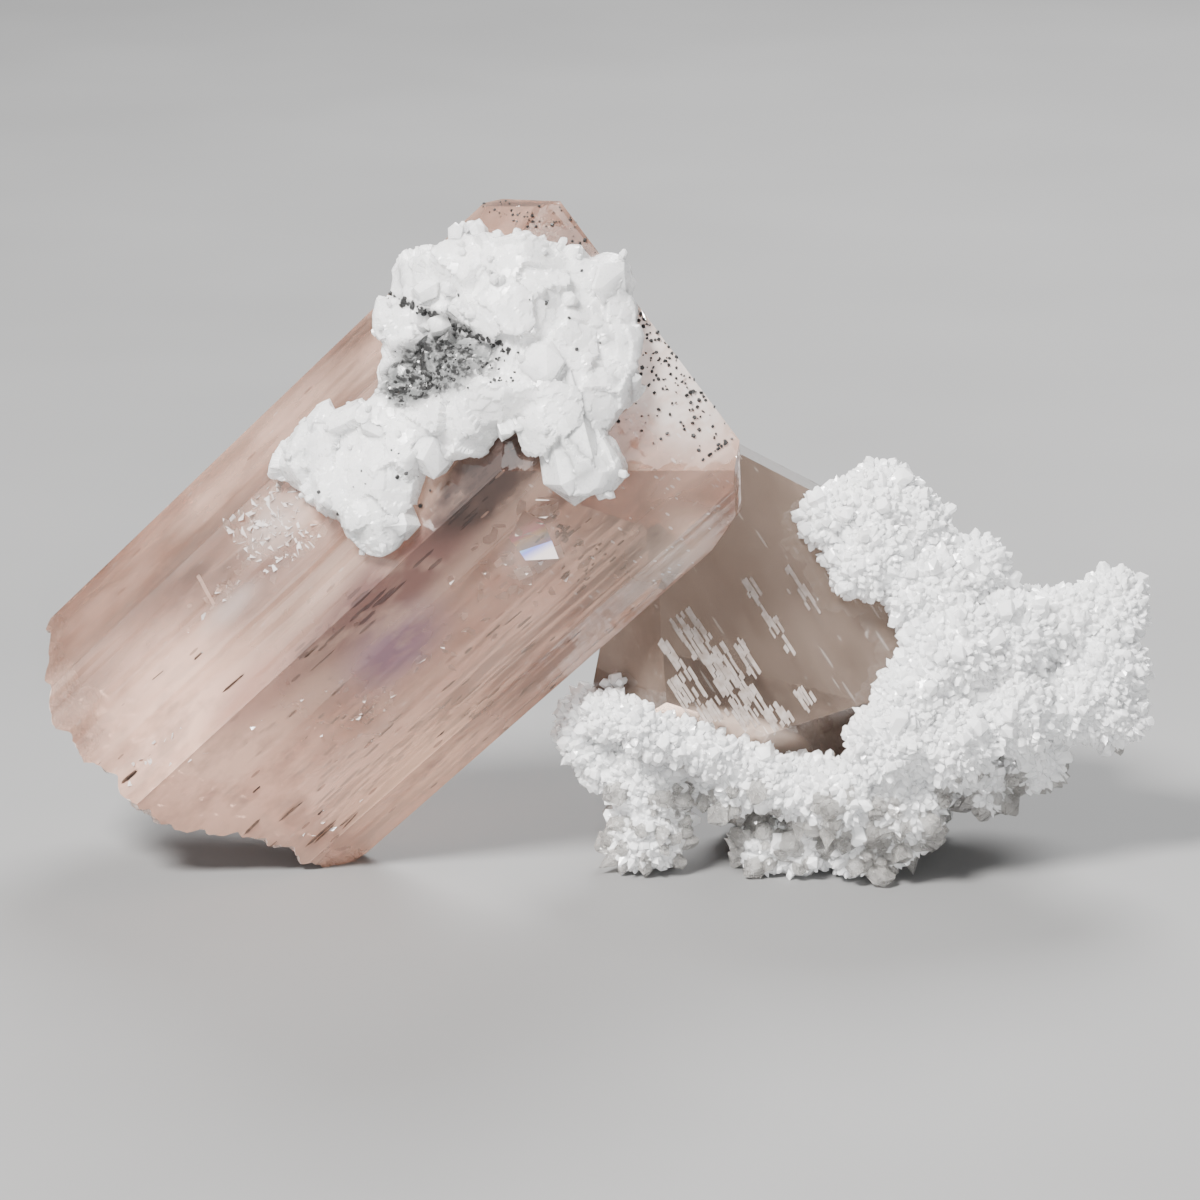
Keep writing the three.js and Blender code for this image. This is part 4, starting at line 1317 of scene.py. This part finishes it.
def crust_material():
    """Milky calcite, greyed by painted shade and mottled black in its hollow, and blackened along one
    thin seam.
    """
    m = Nodes("massive_calcite")
    broad = m.noise(*evenly(0.3), 4, 0.6)
    fine = m.noise(UNTURNED, (3, 1, 2), (2.0, 2.0, 2.0), 4, 0.6)
    colour = m.ramp(broad, (0.32, (0.88, 0.885, 0.885)), (0.58, (0.975, 0.97, 0.965)))
    view = VIEW_AXES
    for right, up, radii in THIN_CRUST:
        thin = m.near(leaning, (right, up, 1.0), radii, view, 0.6)
        colour = m.mix(m.times(thin, 0.8), colour, (0.76, 0.77, 0.76))
    # Painted shade: the crust's hollow and a corner of it are greyed, and black mottling is laid in the
    # same area
    hollow = m.near(leaning, (-12.9, 20.0, 1.0), (6.6, 3.9, 9), view, 0.5)
    corner = m.near(leaning, (-16.2, 18.4, 1.0), (3.4, 3.2, 9), view, 0.5)
    shaded_hollow = m.math("MAXIMUM", hollow, corner)
    shaded_hollow = m.times(shaded_hollow, m.ramp(fine, (0.3, 0.7), (0.5, 1.0)))
    # The grey mixed in here is painted shade in the hollow
    colour = m.mix(m.times(shaded_hollow, 0.92), colour, (0.11, 0.115, 0.115))
    mottled = m.noise(view, (0, 0, 0), (0.8, 1.2, 0.8), 4, 0.65)
    black = m.times(shaded_hollow, m.ramp(mottled, (0.48, 0.0), (0.56, 1.0)))
    colour = m.mix(black, colour, (0.02, 0.02, 0.02))
    seam_axes = view @ turn("Z", SEAM_SLOPE)
    seam = m.near(leaning, (-12.2, 23.5, 1.2), (6.0, 0.6, 8), seam_axes, 0.9)
    colour = m.mix(m.times(seam, 0.9), colour, (0.05, 0.05, 0.05))
    m.surface(Base_Color=colour, Roughness=m.ramp(fine, (0.25, 0.16), (0.75, 0.45)), IOR=CALCITE_IOR)
    soft = m.times(m.math("SUBTRACT", 1.0, m.math("MAXIMUM", shaded_hollow, seam)), 0.55)
    m.surface(
        Subsurface_Weight=soft, Subsurface_Radius=(1.0, 0.98, 0.95), Subsurface_Scale=0.0009,
        Transmission_Weight=0.1,
    )
    m.bump(fine, 0.2, 0.0001)
    return m.material


# The room

FLOOR_REACH = 2.5  # metres
SKY_COLOUR = (0.93, 0.95, 1, 1)
SKY_STRENGTH = 0.18


def stage():
    mesh = bpy.data.meshes.new("floor")
    corners = [(x * FLOOR_REACH, y * FLOOR_REACH, 0) for x, y in ((-1, -1), (1, -1), (1, 1), (-1, 1))]
    mesh.from_pydata(corners, [], [(0, 1, 2, 3)])
    floor = shown(mesh)
    m = Nodes("floor")
    grain = m.noise(*evenly(0.02), 2, 0.5)
    m.surface(Base_Color=m.ramp(grain, (0.3, 0.235), (0.7, 0.255)), Roughness=0.7)
    mesh.materials.append(m.material)
    world = bpy.data.worlds.new("studio")
    bpy.context.scene.world = world
    world.use_nodes = True
    sky = world.node_tree.nodes["Background"].inputs
    sky[0].default_value = SKY_COLOUR
    sky[1].default_value = SKY_STRENGTH


MIDDLE_OF_PART = (0, 0, 0.03)
# Each light's place and aim in metres, size and power
LIGHTS = [
    ("key", (-0.26, -0.36, 0.52), MIDDLE_OF_PART, 0.2, 13.5),
    ("left sheen", (-0.48, -0.06, 0.22), MIDDLE_OF_PART, 0.26, 0.25),
    ("front sheen", (0.145, -0.58, 0.28), MIDDLE_OF_PART, 0.2, 0.4),
    ("sparkle", (0.02, -0.6, 0.16), (0.01, 0, 0.03), 0.02, 1.6),
    ("back", (0.12, 0.45, 0.4), MIDDLE_OF_PART, 0.3, 5),
]
KEY_COLOUR = (1, 0.98, 0.96)


def aimed(piece, place, aim):
    piece.location = place
    piece.rotation_euler = (Vector(aim) - piece.location).to_track_quat("-Z", "Y").to_euler()


def area_light(name, place, aim, size, power):
    data = bpy.data.lights.new(name, "AREA")
    data.shape = "DISK"
    data.size = size
    data.energy = power
    if name == "key":
        data.color = KEY_COLOUR
    aimed(shown(data), place, aim)


def camera():
    data = bpy.data.cameras.new("camera")
    data.sensor_width = SENSOR_WIDTH
    data.lens = SENSOR_WIDTH * VIEW_DISTANCE / PICTURE_WIDTH
    data.clip_start = 0.01
    eye = shown(data)
    aimed(eye, (EYE - FRAME_SHIFT) * MM, (np.array([0, 0, VIEW_HEIGHT]) - FRAME_SHIFT) * MM)
    bpy.context.scene.camera = eye


camera()
stage()
for light in LIGHTS:
    area_light(*light)

danburite = danburite_piece([leaning_material(), second_material(), break_material()])
druse_left, druse_right, clear_points = cluster_pieces()
crust, crust_tree = crust_piece()
lone = lone_piece()
needles = needle_piece()
cracks = crack_piece()
rainbow = rainbow_piece()
step = step_piece()
specks = speck_piece(crust_tree)
etched = etched_piece()

druzy = calcite_material("druzy_calcite", (0.98, 0.98, 0.98), (0.92, 0.93, 0.935), 0.3, 0.0, (0.08, 0.3))
clear_tones = ((0.84, 0.82, 0.79), (0.62, 0.60, 0.57))
clear_calcite = calcite_material("clear_calcite", *clear_tones, 0.0, 0.75, (0.04, 0.12))
massive = crust_material()
dark = plain_material("dark_inclusion", (0.03, 0.015, 0.01), (0.12, 0.07, 0.05), 0.4, 0.0)
black = plain_material("black_grain", (0.01, 0.01, 0.01), (0.04, 0.04, 0.04), 0.5, 0.0)
crack_white = plain_material("crack", (0.80, 0.70, 0.66), (0.97, 0.93, 0.92), 0.12, 0.35)
etched_pale = plain_material("etched_danburite", (0.66, 0.56, 0.50), (0.90, 0.81, 0.76), 0.25, 0.55)
step_white = plain_material("crack_step", (0.90, 0.85, 0.86), (0.99, 0.97, 0.97), 0.15, 0.0)

for piece, material, node, slot in (
    (druse_left, druzy, "calcite_cluster", "druzy_calcite"),
    (druse_right, druzy, "calcite_cluster", "druzy_calcite"),
    (clear_points, clear_calcite, "calcite_cluster", "druzy_calcite"),
    (crust, massive, "calcite_crust", "massive_calcite"),
    (lone, druzy, "lone_calcite_crystal", "druzy_calcite"),
    (needles, dark, "danburite_crystals", "danburite"),
    (cracks, crack_white, "danburite_crystals", "danburite"),
    (rainbow, rainbow_material(), "danburite_crystals", "danburite"),
    (step, step_white, "danburite_crystals", "danburite"),
    (specks, black, "calcite_crust", "massive_calcite"),
    (etched, etched_pale, "danburite_crystals", "danburite"),
    (danburite, None, "danburite_crystals", "danburite"),
):
    if material is not None:
        piece.data.materials.append(material)
    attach(piece, "root")
    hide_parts(node)
